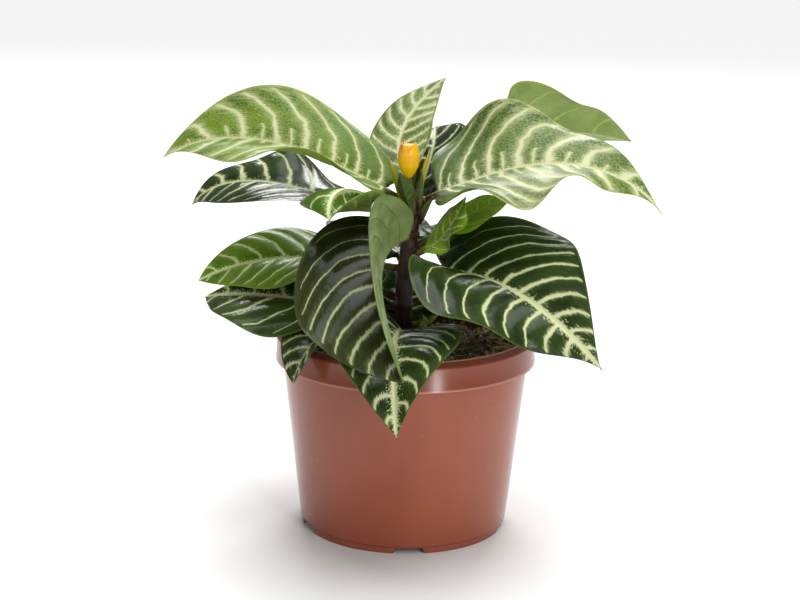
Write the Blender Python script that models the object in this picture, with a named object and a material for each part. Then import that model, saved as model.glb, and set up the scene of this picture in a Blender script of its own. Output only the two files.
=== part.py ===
"""A zebra plant (Aphelandra squarrosa) coming into flower, in its plastic nursery pot.

The origin is the middle of the pot's foot and +Z is up. The flower bud is seen from -Y, where the
largest leaf arches over and hangs in front of the stem, and +X is to the right of that view.
Lengths below are in millimetres and angles in degrees. MM turns them into Blender's metres.
"""

import math
from dataclasses import dataclass

import bmesh
import bpy
import numpy as np

MM = 0.001
UP = np.array([0.0, 0.0, 1.0])

# Gap left between two pieces that touch, and the distance at which points are one
GAP = 0.3
MERGE_DISTANCE = 0.05

# Pot: a 13 cm nursery pot, turned, with a skirt folded down from its lip and a notched foot ring
POT_HEIGHT = 101.0
RIM_RADIUS = 65.0
LIP_RADIUS = 62.0
NECK_HEIGHT = 85.6
NECK_RADIUS = 61.6
SKIRT_HEIGHT = 86.0
SKIRT_WALL = 1.3
LIP_DROP = 3.2
LIP_OUTER_EDGE = 0.6
LIP_INNER_EDGE = 1.0
LIP_ROUNDING = 0.8
INNER_FLARE = 0.06
FOOT_RADIUS = 51.6
FOOT_RING_HEIGHT = 3.0
FOOT_RING_WIDTH = 2.4
FOOT_STEP = 0.4
FOOT_STEP_HEIGHT = 0.8
WALL = 1.4
POT_SEGMENTS = 48
NOTCH_COUNT = 5
NOTCH_FIRST_AZIMUTH = -86.3
NOTCH_WIDTH_TOP = 13.4
NOTCH_WIDTH_BOTTOM = 16.8
NOTCH_HEIGHT = 2.6
DRAIN_RADIUS = 4.5
DRAIN_CIRCLE_RADIUS = 34.0
DRAIN_SIDES = 12
CUTTER_MARGIN = 1.0

# Soil: it fills the pot from its floor and rises a little to the stem
SOIL_EDGE_HEIGHT = 89.0
SOIL_MIDDLE_HEIGHT = 93.0
SOIL_LUMP = 1.2
SOIL_EDGE_LUMP = 0.4
SOIL_CAP_RADIUS = 0.9
SOIL_ROW_SHARES = (0.06, 0.17, 0.3, 0.44, 0.58, 0.72, 0.86)
SOIL_SEGMENTS = 36
SOIL_SEED = 7

# Stem: it leans a little, and its lowest part stands in a hole in the soil
STEM_FOOT_HEIGHT = 66.0
STEM_TOP_HEIGHT = 177.0
STEM_RADIUS = 4.1
STEM_FLARE = 0.3
STEM_RADIUS_HEIGHTS = (66.0, 84.0, 96.0, 140.0, 165.0, 171.0, 177.0)
STEM_RADII = (1.2, 3.6, STEM_RADIUS + STEM_FLARE, STEM_RADIUS, 3.6, 2.2, 1.5)
STEM_SIDES = 10
STEM_RINGS = 15
STEM_PATH_HEIGHTS = (66.0, 92.0, 125.0, 140.0, 158.0, 166.0, 177.0)
STEM_PATH_X = (-1.0, -1.0, -1.5, 0.5, 2.5, 2.0, 0.3)
STUB_SIDES = 7
STUB_RADIUS = 2.0
STUB_STRAIGHT = 2.5
STUB_RING_SHARES = (0.9, 1.1, 1.0)

# Leaves: blade and petiole thickness, and the ridge of the midrib underneath
BLADE_THICKNESS = 0.8
BRACT_THICKNESS = 0.7
MIDRIB_RIDGE = 1.5
PETIOLE_RADIUS = 1.7
BRACT_STALK = 2.0
BRACT_STALK_RADIUS = 0.9
TIP_HALF_WIDTH = 0.5
COLUMNS = (-1.0, -0.72, -0.4, -0.09, 0.0, 0.09, 0.4, 0.72, 1.0)
BRACT_COLUMNS = (-1.0, -0.5, 0.0, 0.5, 1.0)
RIDGE_WIDTH = 0.08
STATIONS = (0.0, 0.03, 0.08, 0.16, 0.26, 0.37, 0.48, 0.59, 0.70, 0.81, 0.91, 1.0)
SMALL_STATIONS = (0.0, 0.06, 0.18, 0.36, 0.56, 0.78, 1.0)
CURVE_STEPS = 384
SIDE_STEPS = 12
LOBE_REACH = 0.45
LOBE_SHOULDER = 0.12
LONG_PETIOLE = 4.0

# The petiole's round section runs this share of the blade before it is flat, and ends in blunt edges
STALK_SHARE = 0.14
STALK_EDGE = 0.93

# Flower bud: whorls of broad bracts that overlap on a solid core
BUD_FOOT_HEIGHT = STEM_TOP_HEIGHT + GAP
BUD_HEIGHT = 18.0
BUD_AXIS_X = 0.0
BUD_RADII = (1.5, 3.4, 4.8, 5.2, 5.2, 4.7, 3.5)
BUD_SIDES = 16
BUD_CORE_HEIGHT = 0.94
BUD_CORE_WIDTH = 0.93
BUD_BRACT_DEPTH = 1.4
BUD_BRACT_TAPER = 0.72
BUD_BRACT_ROWS = 6
BUD_BRACT_COLUMNS = 5

# The bud's bracts from the inside out: azimuth, lowest and highest share of the bud, half spread, lift
BUD_WHORLS = (
    (-36.0, 0.10, 1.00, 64.0, 0.45),
    (145.0, 0.10, 0.98, 62.0, 0.45),
    (55.0, 0.06, 0.93, 58.0, 0.72),
    (-118.0, 0.06, 0.93, 55.0, 0.72),
    (-80.0, 0.02, 0.66, 54.0, 1.08),
    (98.0, 0.02, 0.60, 50.0, 1.08),
)


@dataclass
class Leaf:
    """One leaf or bract: where its petiole starts, how its midrib runs and how each half bends.

    Left is the half on the left when the leaf is seen from above with its tip pointing away. The
    pairs give the value at the blade's base and at its tip. A wave is (amplitude, phase).
    """

    start: tuple
    petiole: float
    azimuth: float
    rise: float
    length: float
    width: float
    sweep: float = 0.0
    droop: float = 50.0
    bend: float = 1.2
    widest: float = 0.45
    lobe: tuple = (0.15, 0.15)
    base_power: float = 0.75
    tip_power: float = 1.0
    roll: tuple = (0.0, 0.0)
    fold_left: tuple = (12.0, 12.0)
    fold_right: tuple = (12.0, 12.0)
    curl_left: tuple = (-20.0, -20.0)
    curl_right: tuple = (-20.0, -20.0)
    wave_left: tuple = (8.0, 0.0)
    wave_right: tuple = (8.0, 0.0)
    waves: float = 2.0
    small: bool = False
    thickness: float = BLADE_THICKNESS
    petiole_radius: float = PETIOLE_RADIUS


def bract(start, azimuth, rise, length, width, **form):
    """A bract: a small thin leaf with a short stalk, slightly hollow towards the bud."""
    hollow = {"droop": 4, "bend": 1.0, "widest": 0.42, "lobe": (0.0, 0.0)}
    for side in ("left", "right"):
        hollow["fold_" + side] = (15, 20)
        hollow["curl_" + side] = (20, 20)
        hollow["wave_" + side] = (0, 0)
    hollow.update(form)
    return Leaf(start, BRACT_STALK, azimuth, rise, length, width, small=True, thickness=BRACT_THICKNESS,
                petiole_radius=BRACT_STALK_RADIUS, **hollow)


# Leaves, from the top of the stem down: each with its colour, and the form that it has grown to
LEAVES = {
    "leaf_top_left": ("leaf_pale", Leaf(
        (-5.0, 2.0, 167.0), petiole=8, azimuth=170, rise=27, length=119, width=67,
        sweep=2, droop=60, bend=1.8, lobe=(0.13, 0.15), tip_power=0.95, roll=(-21, -19),
        fold_left=(27, 14), fold_right=(29, 34), curl_left=(11, -12), curl_right=(-20, -8),
        wave_left=(21, -71), wave_right=(14, 133), waves=1.4)),
    "leaf_top_right": ("leaf_pale", Leaf(
        (8.7, 1.1, 166.3), petiole=7, azimuth=5, rise=24, length=121, width=88,
        sweep=-11, droop=77, bend=1.7, widest=0.3, lobe=(0.0, 0.05), base_power=0.7, tip_power=1.4,
        roll=(10, 18), fold_left=(25, 14), fold_right=(8, 10), curl_left=(-2, 1), curl_right=(2, -18),
        wave_left=(17, 164), wave_right=(19, -19), waves=2.3)),
    "leaf_top_back": ("leaf_pale", Leaf(
        (1.8, 6.3, 170.2), petiole=8, azimuth=117, rise=34, length=75, width=32,
        sweep=-97, droop=-3, tip_power=0.9, roll=(-13, 19),
        fold_left=(12, 10), fold_right=(22, 6), curl_left=(-21, -21), curl_right=(-14, -24),
        wave_left=(7, -62), wave_right=(9, 51), waves=1.9)),
    "leaf_top_back_right": ("leaf_green", Leaf(
        (6.4, 4.9, 157.6), petiole=17, azimuth=65, rise=31, length=137, width=65,
        sweep=-63, droop=46, bend=0.9, base_power=0.9, tip_power=0.9, roll=(-32, -52),
        fold_left=(14, 30), fold_right=(15, 34), curl_left=(-18, -4), curl_right=(-28, -12),
        wave_left=(5, 18), wave_right=(28, 96))),
    "leaf_upper_front_folded": ("leaf_green", Leaf(
        (-3.0, -5.0, 161.0), petiole=8, azimuth=207, rise=32, length=63, width=50,
        sweep=66, droop=78, bend=1.6, widest=0.5, tip_power=1.05, roll=(-12, -32),
        fold_left=(-80, -78), fold_right=(-30, -10), curl_left=(205, 212), curl_right=(-60, -65),
        wave_left=(0, 0), wave_right=(9, 0), waves=2.1)),
    "leaf_upper_left": ("leaf_dark", Leaf(
        (-4.0, 5.0, 156.0), petiole=14, azimuth=165, rise=13, length=110, width=57,
        sweep=-18, droop=61, bend=2.5, roll=(12, -29),
        fold_left=(12, 0), fold_right=(10, 23), curl_left=(-10, -20), curl_right=(-20, -9),
        wave_left=(0, 0), wave_right=(13, 0), waves=2.4)),
    "leaf_upper_back": ("leaf_dark", Leaf(
        (2.0, 7.0, 160.0), petiole=14, azimuth=71, rise=34, length=60, width=44,
        sweep=21, droop=26, bend=1.3, widest=0.5, lobe=(0.1, 0.1), roll=(-10, -15),
        fold_right=(17, 20), curl_right=(-7, -7), wave_right=(7, -28), waves=1.8)),
    "leaf_upper_right_back": ("leaf_green", Leaf(
        (6.2, 2.4, 141.5), petiole=16, azimuth=13, rise=35, length=38, width=32,
        sweep=6, droop=30, widest=0.42, lobe=(0.03, 0.03), base_power=0.7, roll=(7, -2),
        fold_left=(11, 19), fold_right=(1, 11), curl_left=(-20, -14), curl_right=(-25, -20),
        wave_left=(10, -19), wave_right=(5, 168), waves=1.7)),
    "leaf_front_arching": ("leaf_dark", Leaf(
        (3.0, -6.0, 150.0), petiole=6, azimuth=239, rise=1, length=104, width=84,
        sweep=69, droop=65, bend=1.05, widest=0.54, lobe=(0.13, 0.16), base_power=0.7, tip_power=0.8,
        roll=(-25, 32), fold_left=(95, 96), fold_right=(18, -2), curl_left=(-1, 5), curl_right=(-8, -15),
        wave_left=(2, -115), wave_right=(14, -68), waves=1.8)),
    "leaf_small_right": ("leaf_green", Leaf(
        (5.8, -3.5, 140.5), petiole=5, azimuth=-30, rise=29, length=35, width=25,
        sweep=25, droop=-44, bend=0.7, lobe=(0.11, 0.11), roll=(32, 29),
        fold_left=(21, 9), fold_right=(14, 4), curl_left=(-13, -23), curl_right=(-17, -24),
        wave_left=(0, 0), wave_right=(25, 12), waves=2.3)),
    "leaf_middle_back_right": ("leaf_green", Leaf(
        (3.6, 5.7, 142.0), petiole=11, azimuth=52, rise=6, length=71, width=46, sweep=3, droop=49)),
    "leaf_middle_left": ("leaf_green", Leaf(
        (-5.9, 3.6, 131.1), petiole=13, azimuth=166, rise=5, length=91, width=54,
        sweep=12, droop=33, bend=1.4, tip_power=0.9, roll=(-2, -35),
        fold_left=(13, 10), fold_right=(5, 21), curl_left=(-19, -22), curl_right=(-26, -12),
        wave_left=(7, -34), wave_right=(3, 171), waves=1.7)),
    "leaf_middle_right": ("leaf_dark", Leaf(
        (6.0, -2.0, 128.0), petiole=20, azimuth=-45, rise=17, length=103, width=89,
        sweep=11, droop=60, bend=0.7, widest=0.3, lobe=(0.21, 0.08), base_power=1.0, tip_power=1.3,
        roll=(-1, 49), fold_left=(31, 13), fold_right=(20, -1), curl_left=(-3, -17), curl_right=(22, -42),
        wave_left=(17, 83), wave_right=(22, 144), waves=1.5)),
    "leaf_middle_back_left": ("leaf_dark", Leaf(
        (-0.1, 6.3, 128.1), petiole=14, azimuth=109, rise=23, length=79, width=56, sweep=-5, droop=63)),
    "leaf_lower_back_left": ("leaf_green", Leaf(
        (-4.5, 5.5, 115.1), petiole=11, azimuth=133, rise=6, length=76, width=50,
        sweep=10, droop=49, roll=(-13, -1), fold_left=(5, 12), curl_left=(-26, -20))),
    "leaf_lower_back_right": ("leaf_dark", Leaf(
        (4.0, 4.0, 113.0), petiole=12, azimuth=40, rise=15, length=80, width=54, sweep=-9, droop=52)),
    "leaf_lower_left": ("leaf_dark", Leaf(
        (-7.5, 0.9, 110.4), petiole=12, azimuth=196, rise=8, length=88, width=67,
        sweep=-52, droop=25, bend=2.1, tip_power=0.9, roll=(-18, -28),
        fold_left=(25, 10), fold_right=(18, 9), curl_left=(-16, -24), curl_right=(-15, -23),
        wave_left=(12, -42), wave_right=(8, 8), waves=1.8)),
    "leaf_low_front_left": ("leaf_dark", Leaf(
        (-6.0, -4.5, 98.0), petiole=12, azimuth=219, rise=22, length=68, width=45,
        sweep=22, droop=87, bend=1.4, tip_power=0.85, roll=(-25, -1),
        fold_left=(40, 54), fold_right=(5, 6), curl_left=(-30, -17), curl_right=(-21, -19),
        wave_left=(9, -13), wave_right=(2, 176), waves=1.7)),
    "leaf_low_front": ("leaf_dark", Leaf(
        (-1.1, -6.3, 97.2), petiole=7.5, azimuth=262, rise=33, length=98, width=66,
        sweep=15, droop=89, bend=0.8, widest=0.48, lobe=(0.14, 0.15), base_power=0.9, tip_power=1.1,
        roll=(-23, 17), fold_left=(18, 35), fold_right=(28, 25), curl_left=(-13, 2), curl_right=(-10, -10),
        wave_left=(9, -16), wave_right=(14, 39), waves=1.4)),
    "leaf_low_back": ("leaf_dark", Leaf(
        (-1.0, 6.4, 97.2), petiole=10, azimuth=84, rise=28, length=97, width=58, sweep=5, droop=75)),
    "leaf_basal_left": ("leaf_green", Leaf(
        (-7.2, 1.0, 103.0), petiole=2, azimuth=182, rise=45, length=7, width=6,
        lobe=(0.1, 0.1), fold_left=(30, 30), fold_right=(30, 30), curl_left=(10, 10), curl_right=(10, 10),
        wave_left=(4, 0), wave_right=(4, 0), small=True, petiole_radius=1.3)),
    "leaf_basal_front": ("leaf_green", Leaf(
        (5.4, -2.8, 102.0), petiole=3, azimuth=-30, rise=30, length=20, width=12,
        sweep=-120, droop=35, bend=1.0, lobe=(0.0, 0.0), fold_left=(35, 35), fold_right=(35, 35),
        curl_left=(15, 15), curl_right=(15, 15), wave_left=(4, 0), wave_right=(4, 0), small=True,
        petiole_radius=1.3)),
}

# Bracts: the small leaves that stand round the flower bud
BRACTS = {
    "bract_front": ("bract_green", bract(
        (2.2, -5.2, 160.5), azimuth=237, rise=58, length=23, width=10.4, sweep=-6, droop=-12, widest=0.5,
        base_power=0.85, roll=(21, 13), fold_left=(31, 24), fold_right=(20, 17),
        curl_left=(36, 23), curl_right=(24, 17))),
    "bract_left": ("bract_yellow_green", bract(
        (-2.6, -2.0, 163.5), azimuth=191, rise=70, length=24, width=6, droop=-7)),
    "bract_right": ("bract_yellow_green", bract(
        (6.3, 0.8, 170.3), azimuth=4, rise=81, length=19, width=6)),
    "bract_narrow": ("bract_green", bract(
        (5.9, -4.2, 162.5), azimuth=-60, rise=84, length=18, width=3.4, droop=-6)),
    "bract_low_right": ("bract_green", bract(
        (7.2, -4.6, 158.0), azimuth=-45, rise=58, length=12, width=5, droop=-5)),
    "bract_back": ("bract_green", bract(
        (3.2, 4.2, 171.5), azimuth=62, rise=82, length=16, width=7)),
}


def remove_all():
    """Empty the scene."""
    for old in list(bpy.data.objects):
        bpy.data.objects.remove(old, do_unlink=True)
    for mesh in list(bpy.data.meshes):
        bpy.data.meshes.remove(mesh)


def plain_material(name, colour, roughness, metallic=0.0):
    """A Principled material in one colour, given as linear RGB."""
    material = bpy.data.materials.new(name)
    material.use_nodes = True
    shader = material.node_tree.nodes["Principled BSDF"]
    shader.inputs["Base Color"].default_value = (*colour, 1.0)
    shader.inputs["Roughness"].default_value = roughness
    shader.inputs["Metallic"].default_value = metallic
    material.diffuse_color = (*colour, 1.0)
    return material


def add_object(name, points, faces, material, sharp_angle=40.0):
    """A smooth-shaded object from points in millimetres and faces as tuples of point numbers."""
    mesh = bpy.data.meshes.new(name)
    mesh.from_pydata([tuple(float(value) * MM for value in point) for point in points], [], faces)
    mesh.validate()
    mesh.shade_smooth()
    mesh.set_sharp_from_angle(angle=math.radians(sharp_angle))
    mesh.materials.append(material)
    thing = bpy.data.objects.new(name, mesh)
    bpy.context.scene.collection.objects.link(thing)
    return thing


def unit(vector):
    """The vector at length one."""
    return vector / np.linalg.norm(vector)


def direction(azimuth, elevation):
    """The unit vector at an azimuth from +X and an elevation above level, in radians."""
    level = np.cos(elevation)
    return np.stack([level * np.cos(azimuth), level * np.sin(azimuth), np.sin(elevation)], axis=-1)


def loft_faces(ring_count, ring_size, closed=False):
    """Quads between rings that follow each other, with both ends capped unless it is closed."""
    faces = []
    last = ring_count if closed else ring_count - 1
    for ring in range(last):
        low = ring * ring_size
        high = (ring + 1) % ring_count * ring_size
        for side in range(ring_size):
            after = (side + 1) % ring_size
            faces.append((low + side, low + after, high + after, high + side))
    if not closed:
        faces.append(tuple(reversed(range(ring_size))))
        faces.append(tuple(range((ring_count - 1) * ring_size, ring_count * ring_size)))
    return faces


def ring_about(centre, normal, radius, sides):
    """A ring of points about a centre, counter-clockwise when the normal points at the viewer."""
    across = unit(np.cross((0.0, 1.0, 0.0), normal))
    upward = np.cross(normal, across)
    turns = np.arange(sides) * 2 * math.pi / sides
    return [centre + radius * (math.cos(turn) * across + math.sin(turn) * upward) for turn in turns]


def clean_mesh(mesh):
    """Weld close points, drop the loose ones that a Boolean leaves and split faces into triangles."""
    shape = bmesh.new()
    shape.from_mesh(mesh)
    bmesh.ops.remove_doubles(shape, verts=shape.verts, dist=MERGE_DISTANCE * MM)
    bmesh.ops.dissolve_degenerate(shape, edges=shape.edges, dist=MERGE_DISTANCE * MM)
    loose = [point for point in shape.verts if not point.link_faces]
    bmesh.ops.delete(shape, geom=loose, context="VERTS")
    bmesh.ops.triangulate(shape, faces=shape.faces)
    shape.to_mesh(mesh)
    shape.free()


def join_by_union(name, pieces, material):
    """One object from overlapping pieces: a Boolean union over their collection, applied."""
    base, others = pieces[0], pieces[1:]
    collection = bpy.data.collections.new(name + "_pieces")
    bpy.context.scene.collection.children.link(collection)
    for piece in others:
        bpy.context.scene.collection.objects.unlink(piece)
        collection.objects.link(piece)
    union = base.modifiers.new("union", "BOOLEAN")
    union.operation = "UNION"
    union.operand_type = "COLLECTION"
    union.collection = collection
    union.solver = "MANIFOLD"
    evaluated = base.evaluated_get(bpy.context.evaluated_depsgraph_get())
    mesh = bpy.data.meshes.new_from_object(evaluated)
    base.modifiers.clear()
    clean_mesh(mesh)
    base.data = mesh
    base.name = name
    mesh.materials.clear()
    mesh.materials.append(material)
    for piece in others:
        bpy.data.objects.remove(piece, do_unlink=True)
    bpy.data.collections.remove(collection)
    return base


def cut_away(thing, cutters):
    """Cut the cutters out of an object, one Boolean difference over their collection, applied."""
    collection = bpy.data.collections.new(thing.name + "_cutters")
    bpy.context.scene.collection.children.link(collection)
    for cutter in cutters:
        bpy.context.scene.collection.objects.unlink(cutter)
        collection.objects.link(cutter)
    cut = thing.modifiers.new("cut", "BOOLEAN")
    cut.operation = "DIFFERENCE"
    cut.operand_type = "COLLECTION"
    cut.collection = collection
    evaluated = thing.evaluated_get(bpy.context.evaluated_depsgraph_get())
    mesh = bpy.data.meshes.new_from_object(evaluated)
    thing.modifiers.clear()
    thing.data = mesh
    for cutter in cutters:
        bpy.data.objects.remove(cutter, do_unlink=True)
    bpy.data.collections.remove(collection)


def body_radius(height):
    """Outer radius of the pot's tapering body."""
    return FOOT_RADIUS + FOOT_STEP + (NECK_RADIUS - FOOT_RADIUS - FOOT_STEP) * height / NECK_HEIGHT


def inner_radius(height):
    """Inner radius of the pot at a height, from its floor up to the lip."""
    if height <= NECK_HEIGHT:
        return body_radius(height) - WALL
    return body_radius(NECK_HEIGHT) - WALL + INNER_FLARE * (height - NECK_HEIGHT)


def pot_profile():
    """The pot's wall as a closed outline of (radius, height), from the middle drain hole."""
    floor_top = FOOT_RING_HEIGHT + WALL
    shoulder = POT_HEIGHT - LIP_DROP
    outside = [
        (DRAIN_RADIUS, FOOT_RING_HEIGHT),
        (FOOT_RADIUS - FOOT_RING_WIDTH, FOOT_RING_HEIGHT),
        (FOOT_RADIUS - FOOT_RING_WIDTH, 0.0),
        (FOOT_RADIUS, 0.0),
        (FOOT_RADIUS, FOOT_RING_HEIGHT),
        (body_radius(FOOT_RING_HEIGHT + FOOT_STEP_HEIGHT), FOOT_RING_HEIGHT + FOOT_STEP_HEIGHT),
        (NECK_RADIUS, NECK_HEIGHT),
    ]
    collar = [
        (NECK_RADIUS, shoulder - SKIRT_WALL),
        (RIM_RADIUS - SKIRT_WALL, shoulder - SKIRT_WALL),
        (RIM_RADIUS - SKIRT_WALL, SKIRT_HEIGHT),
        (RIM_RADIUS, SKIRT_HEIGHT),
        (RIM_RADIUS, shoulder),
        (LIP_RADIUS + LIP_OUTER_EDGE, POT_HEIGHT - 0.25 * LIP_ROUNDING),
        (LIP_RADIUS, POT_HEIGHT),
    ]
    inside = [
        (LIP_RADIUS - LIP_INNER_EDGE, POT_HEIGHT - LIP_ROUNDING),
        (inner_radius(shoulder), shoulder),
        (inner_radius(NECK_HEIGHT), NECK_HEIGHT),
        (inner_radius(floor_top), floor_top),
        (DRAIN_RADIUS, floor_top),
    ]
    return outside + collar + inside


def notch_cutter(azimuth):
    """A wedge across the foot ring, wider at the bottom, for one drainage notch."""
    turn = math.radians(azimuth)
    low, high = 0.5 * NOTCH_WIDTH_BOTTOM, 0.5 * NOTCH_WIDTH_TOP
    corners = ((-low, -CUTTER_MARGIN), (low, -CUTTER_MARGIN), (high, NOTCH_HEIGHT), (-high, NOTCH_HEIGHT))
    points = []
    for radius in (FOOT_RADIUS - FOOT_RING_WIDTH - 2 * CUTTER_MARGIN, FOOT_RADIUS + 3 * CUTTER_MARGIN):
        for side, height in corners:
            points.append((radius * math.cos(turn) - side * math.sin(turn),
                           radius * math.sin(turn) + side * math.cos(turn), height))
    return add_object("notch", points, loft_faces(2, 4), None)


def drain_cutter(azimuth):
    """A round cutter for one drain hole in the pot's floor."""
    turn = math.radians(azimuth)
    middle = np.array([DRAIN_CIRCLE_RADIUS * math.cos(turn), DRAIN_CIRCLE_RADIUS * math.sin(turn), 0.0])
    points = []
    for height in (FOOT_RING_HEIGHT - CUTTER_MARGIN, FOOT_RING_HEIGHT + WALL + CUTTER_MARGIN):
        points += ring_about(middle + (0.0, 0.0, height), UP, DRAIN_RADIUS, DRAIN_SIDES)
    return add_object("drain", points, loft_faces(2, DRAIN_SIDES), None)


def pot():
    """The turned pot, with notches through its foot ring and holes through its floor."""
    profile = pot_profile()
    points = []
    for step in range(POT_SEGMENTS):
        turn = 2 * math.pi * step / POT_SEGMENTS
        points += [(radius * math.cos(turn), radius * math.sin(turn), height) for radius, height in profile]
    body = add_object("pot", points, loft_faces(POT_SEGMENTS, len(profile), closed=True), None)
    spacing = 360.0 / NOTCH_COUNT
    azimuths = [NOTCH_FIRST_AZIMUTH + spacing * number for number in range(NOTCH_COUNT)]
    cutters = [notch_cutter(azimuth) for azimuth in azimuths]
    cutters += [drain_cutter(azimuth + spacing / 2) for azimuth in azimuths]
    cut_away(body, cutters)
    body.data.materials.clear()
    body.data.materials.append(plain_material("terracotta_plastic", (0.33, 0.10, 0.06), 0.35))
    return body


def stem_centre(height):
    """The middle of the stem at a height."""
    return np.array([np.interp(height, STEM_PATH_HEIGHTS, STEM_PATH_X), 0.0, height])


def stem_radius(height):
    """The stem's radius: a point at the root, even up to the top leaves, then slender."""
    return float(np.interp(height, STEM_RADIUS_HEIGHTS, STEM_RADII))


def soil():
    """The soil: a lumpy top, a wall that follows the pot and a plain hole for the stem."""
    random = np.random.default_rng(SOIL_SEED)
    hole = STEM_RADIUS + STEM_FLARE + GAP
    floor = FOOT_RING_HEIGHT + WALL + GAP
    edge = inner_radius(SOIL_EDGE_HEIGHT) - GAP
    rows = [(SOIL_CAP_RADIUS, STEM_FOOT_HEIGHT - GAP, 0.0), (hole, STEM_FOOT_HEIGHT - GAP, 0.0)]
    rows.append((hole, SOIL_MIDDLE_HEIGHT, 0.0))
    for share in SOIL_ROW_SHARES:
        height = SOIL_MIDDLE_HEIGHT + (SOIL_EDGE_HEIGHT - SOIL_MIDDLE_HEIGHT) * share
        rows.append((hole + (edge - hole) * share, height, SOIL_LUMP))
    rows.append((edge, SOIL_EDGE_HEIGHT, SOIL_EDGE_LUMP))
    rows.append((inner_radius(NECK_HEIGHT) - GAP, NECK_HEIGHT, 0.0))
    rows.append((inner_radius(floor) - GAP, floor, 0.0))
    rows.append((SOIL_CAP_RADIUS, floor, 0.0))
    points = []
    for radius, height, lump in rows:
        centre = stem_centre(STEM_FOOT_HEIGHT)[0] * (1.0 - min(1.0, (radius - hole) / (edge - hole)))
        heights = height + lump * random.uniform(-1.0, 1.0, SOIL_SEGMENTS)
        for step in range(SOIL_SEGMENTS):
            turn = 2 * math.pi * step / SOIL_SEGMENTS
            points.append((centre + radius * math.cos(turn), radius * math.sin(turn), heights[step]))
    material = plain_material("potting_soil", (0.016, 0.011, 0.008), 0.95)
    faces = [tuple(reversed(face)) for face in loft_faces(len(rows), SOIL_SEGMENTS)]
    return add_object("soil", points, faces, material, 60.0)


def stub(leaf):
    """The short base of a petiole that stays on the stem, up to the leaf's own petiole."""
    outward = direction(math.radians(leaf.azimuth), math.radians(leaf.rise))
    end = np.array(leaf.start) - GAP * outward
    knee = end - STUB_STRAIGHT * outward
    inside = stem_centre(knee[2] - 1.0)
    inward = unit(knee - inside)
    radius = STUB_RADIUS * leaf.petiole_radius / PETIOLE_RADIUS
    rings = ((inside, inward), (knee, unit(inward + outward)), (end, outward))
    points = []
    for (centre, normal), share in zip(rings, STUB_RING_SHARES):
        points += ring_about(centre, normal, radius * share, STUB_SIDES)
    return add_object("stub", points, loft_faces(len(rings), STUB_SIDES), None)


def stem(leaves):
    """The stem from its root to the bud, with a petiole stub for every leaf and bract."""
    heights = np.linspace(STEM_FOOT_HEIGHT, STEM_TOP_HEIGHT, STEM_RINGS)
    points = []
    for height in heights:
        points += ring_about(stem_centre(height), UP, stem_radius(height), STEM_SIDES)
    trunk = add_object("trunk", points, loft_faces(STEM_RINGS, STEM_SIDES), None)
    stubs = [stub(leaf) for leaf in leaves]
    material = plain_material("stem", (0.022, 0.008, 0.007), 0.45)
    return join_by_union("stem", [trunk] + stubs, material)


def between(pair, along):
    """A value that goes evenly from the pair's first at the base to its second at the tip."""
    return pair[0] + (pair[1] - pair[0]) * along


def half_width(leaf, along):
    """Half the blade's width along the midrib, from a pointed base to a pointed tip."""
    warp = math.log(0.5) / math.log(leaf.widest)
    swell = np.sin(math.pi * np.clip(along, 1e-6, 1.0 - 1e-6) ** warp)
    power = np.where(along < leaf.widest, leaf.base_power, leaf.tip_power)
    return 0.5 * leaf.width * np.clip(swell, 0.0, 1.0) ** power


def midrib(leaf, along):
    """The midrib's points, and the directions along it, to its left and out of its upper face."""
    fine = np.linspace(0.0, 1.0, CURVE_STEPS + 1)
    azimuths = np.radians(leaf.azimuth + leaf.sweep * fine)
    elevations = np.radians(leaf.rise - leaf.droop * fine ** leaf.bend)
    forward = direction(azimuths, elevations)
    steps = 0.5 * (forward[1:] + forward[:-1]) * leaf.length / CURVE_STEPS
    path = np.vstack([np.zeros(3), np.cumsum(steps, axis=0)])
    blade_start = np.array(leaf.start) + forward[0] * leaf.petiole
    places = np.stack([np.interp(along, fine, path[:, axis]) for axis in range(3)], axis=-1) + blade_start
    azimuths = np.radians(leaf.azimuth + leaf.sweep * along)
    forward = direction(azimuths, np.radians(leaf.rise - leaf.droop * along ** leaf.bend))
    level = np.stack([-np.sin(azimuths), np.cos(azimuths), 0.0 * azimuths], axis=-1)
    upright = np.cross(forward, level)
    roll = np.radians(between(leaf.roll, along))[:, None]
    left = np.cos(roll) * level + np.sin(roll) * upright
    return places, forward, left, np.cos(roll) * upright - np.sin(roll) * level


def half_section(leaf, along, side):
    """How far out and up each half reaches, at even steps from midrib to margin, per half width."""
    fold, curl, wave = leaf.fold_left, leaf.curl_left, leaf.wave_left
    if side < 0:
        fold, curl, wave = leaf.fold_right, leaf.curl_right, leaf.wave_right
    out = np.linspace(0.0, 1.0, SIDE_STEPS + 1)[None, :]
    swing = wave[0] * np.sin(2 * math.pi * leaf.waves * along + math.radians(wave[1]))
    angle = np.radians(between(fold, along)[:, None] + between(curl, along)[:, None] * out
                       + 1.5 * swing[:, None] * out ** 1.5)
    rows = []
    for part in (np.cos(angle), np.sin(angle)):
        area = np.cumsum(0.5 * (part[:, 1:] + part[:, :-1]) / SIDE_STEPS, axis=1)
        rows.append(np.hstack([np.zeros((len(along), 1)), area]))
    return rows


def lobe_slip(leaf, along, half):
    """How far a lobe of the full size slides the margin back past the blade's base."""
    beyond_stalk = (half - 1.5 * leaf.petiole_radius) / (LOBE_SHOULDER * leaf.width)
    fading = np.clip(1.0 - along / LOBE_REACH, 0.0, 1.0) ** 1.5
    return leaf.width * np.clip(beyond_stalk, 0.0, 1.0) ** 0.8 * fading


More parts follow.
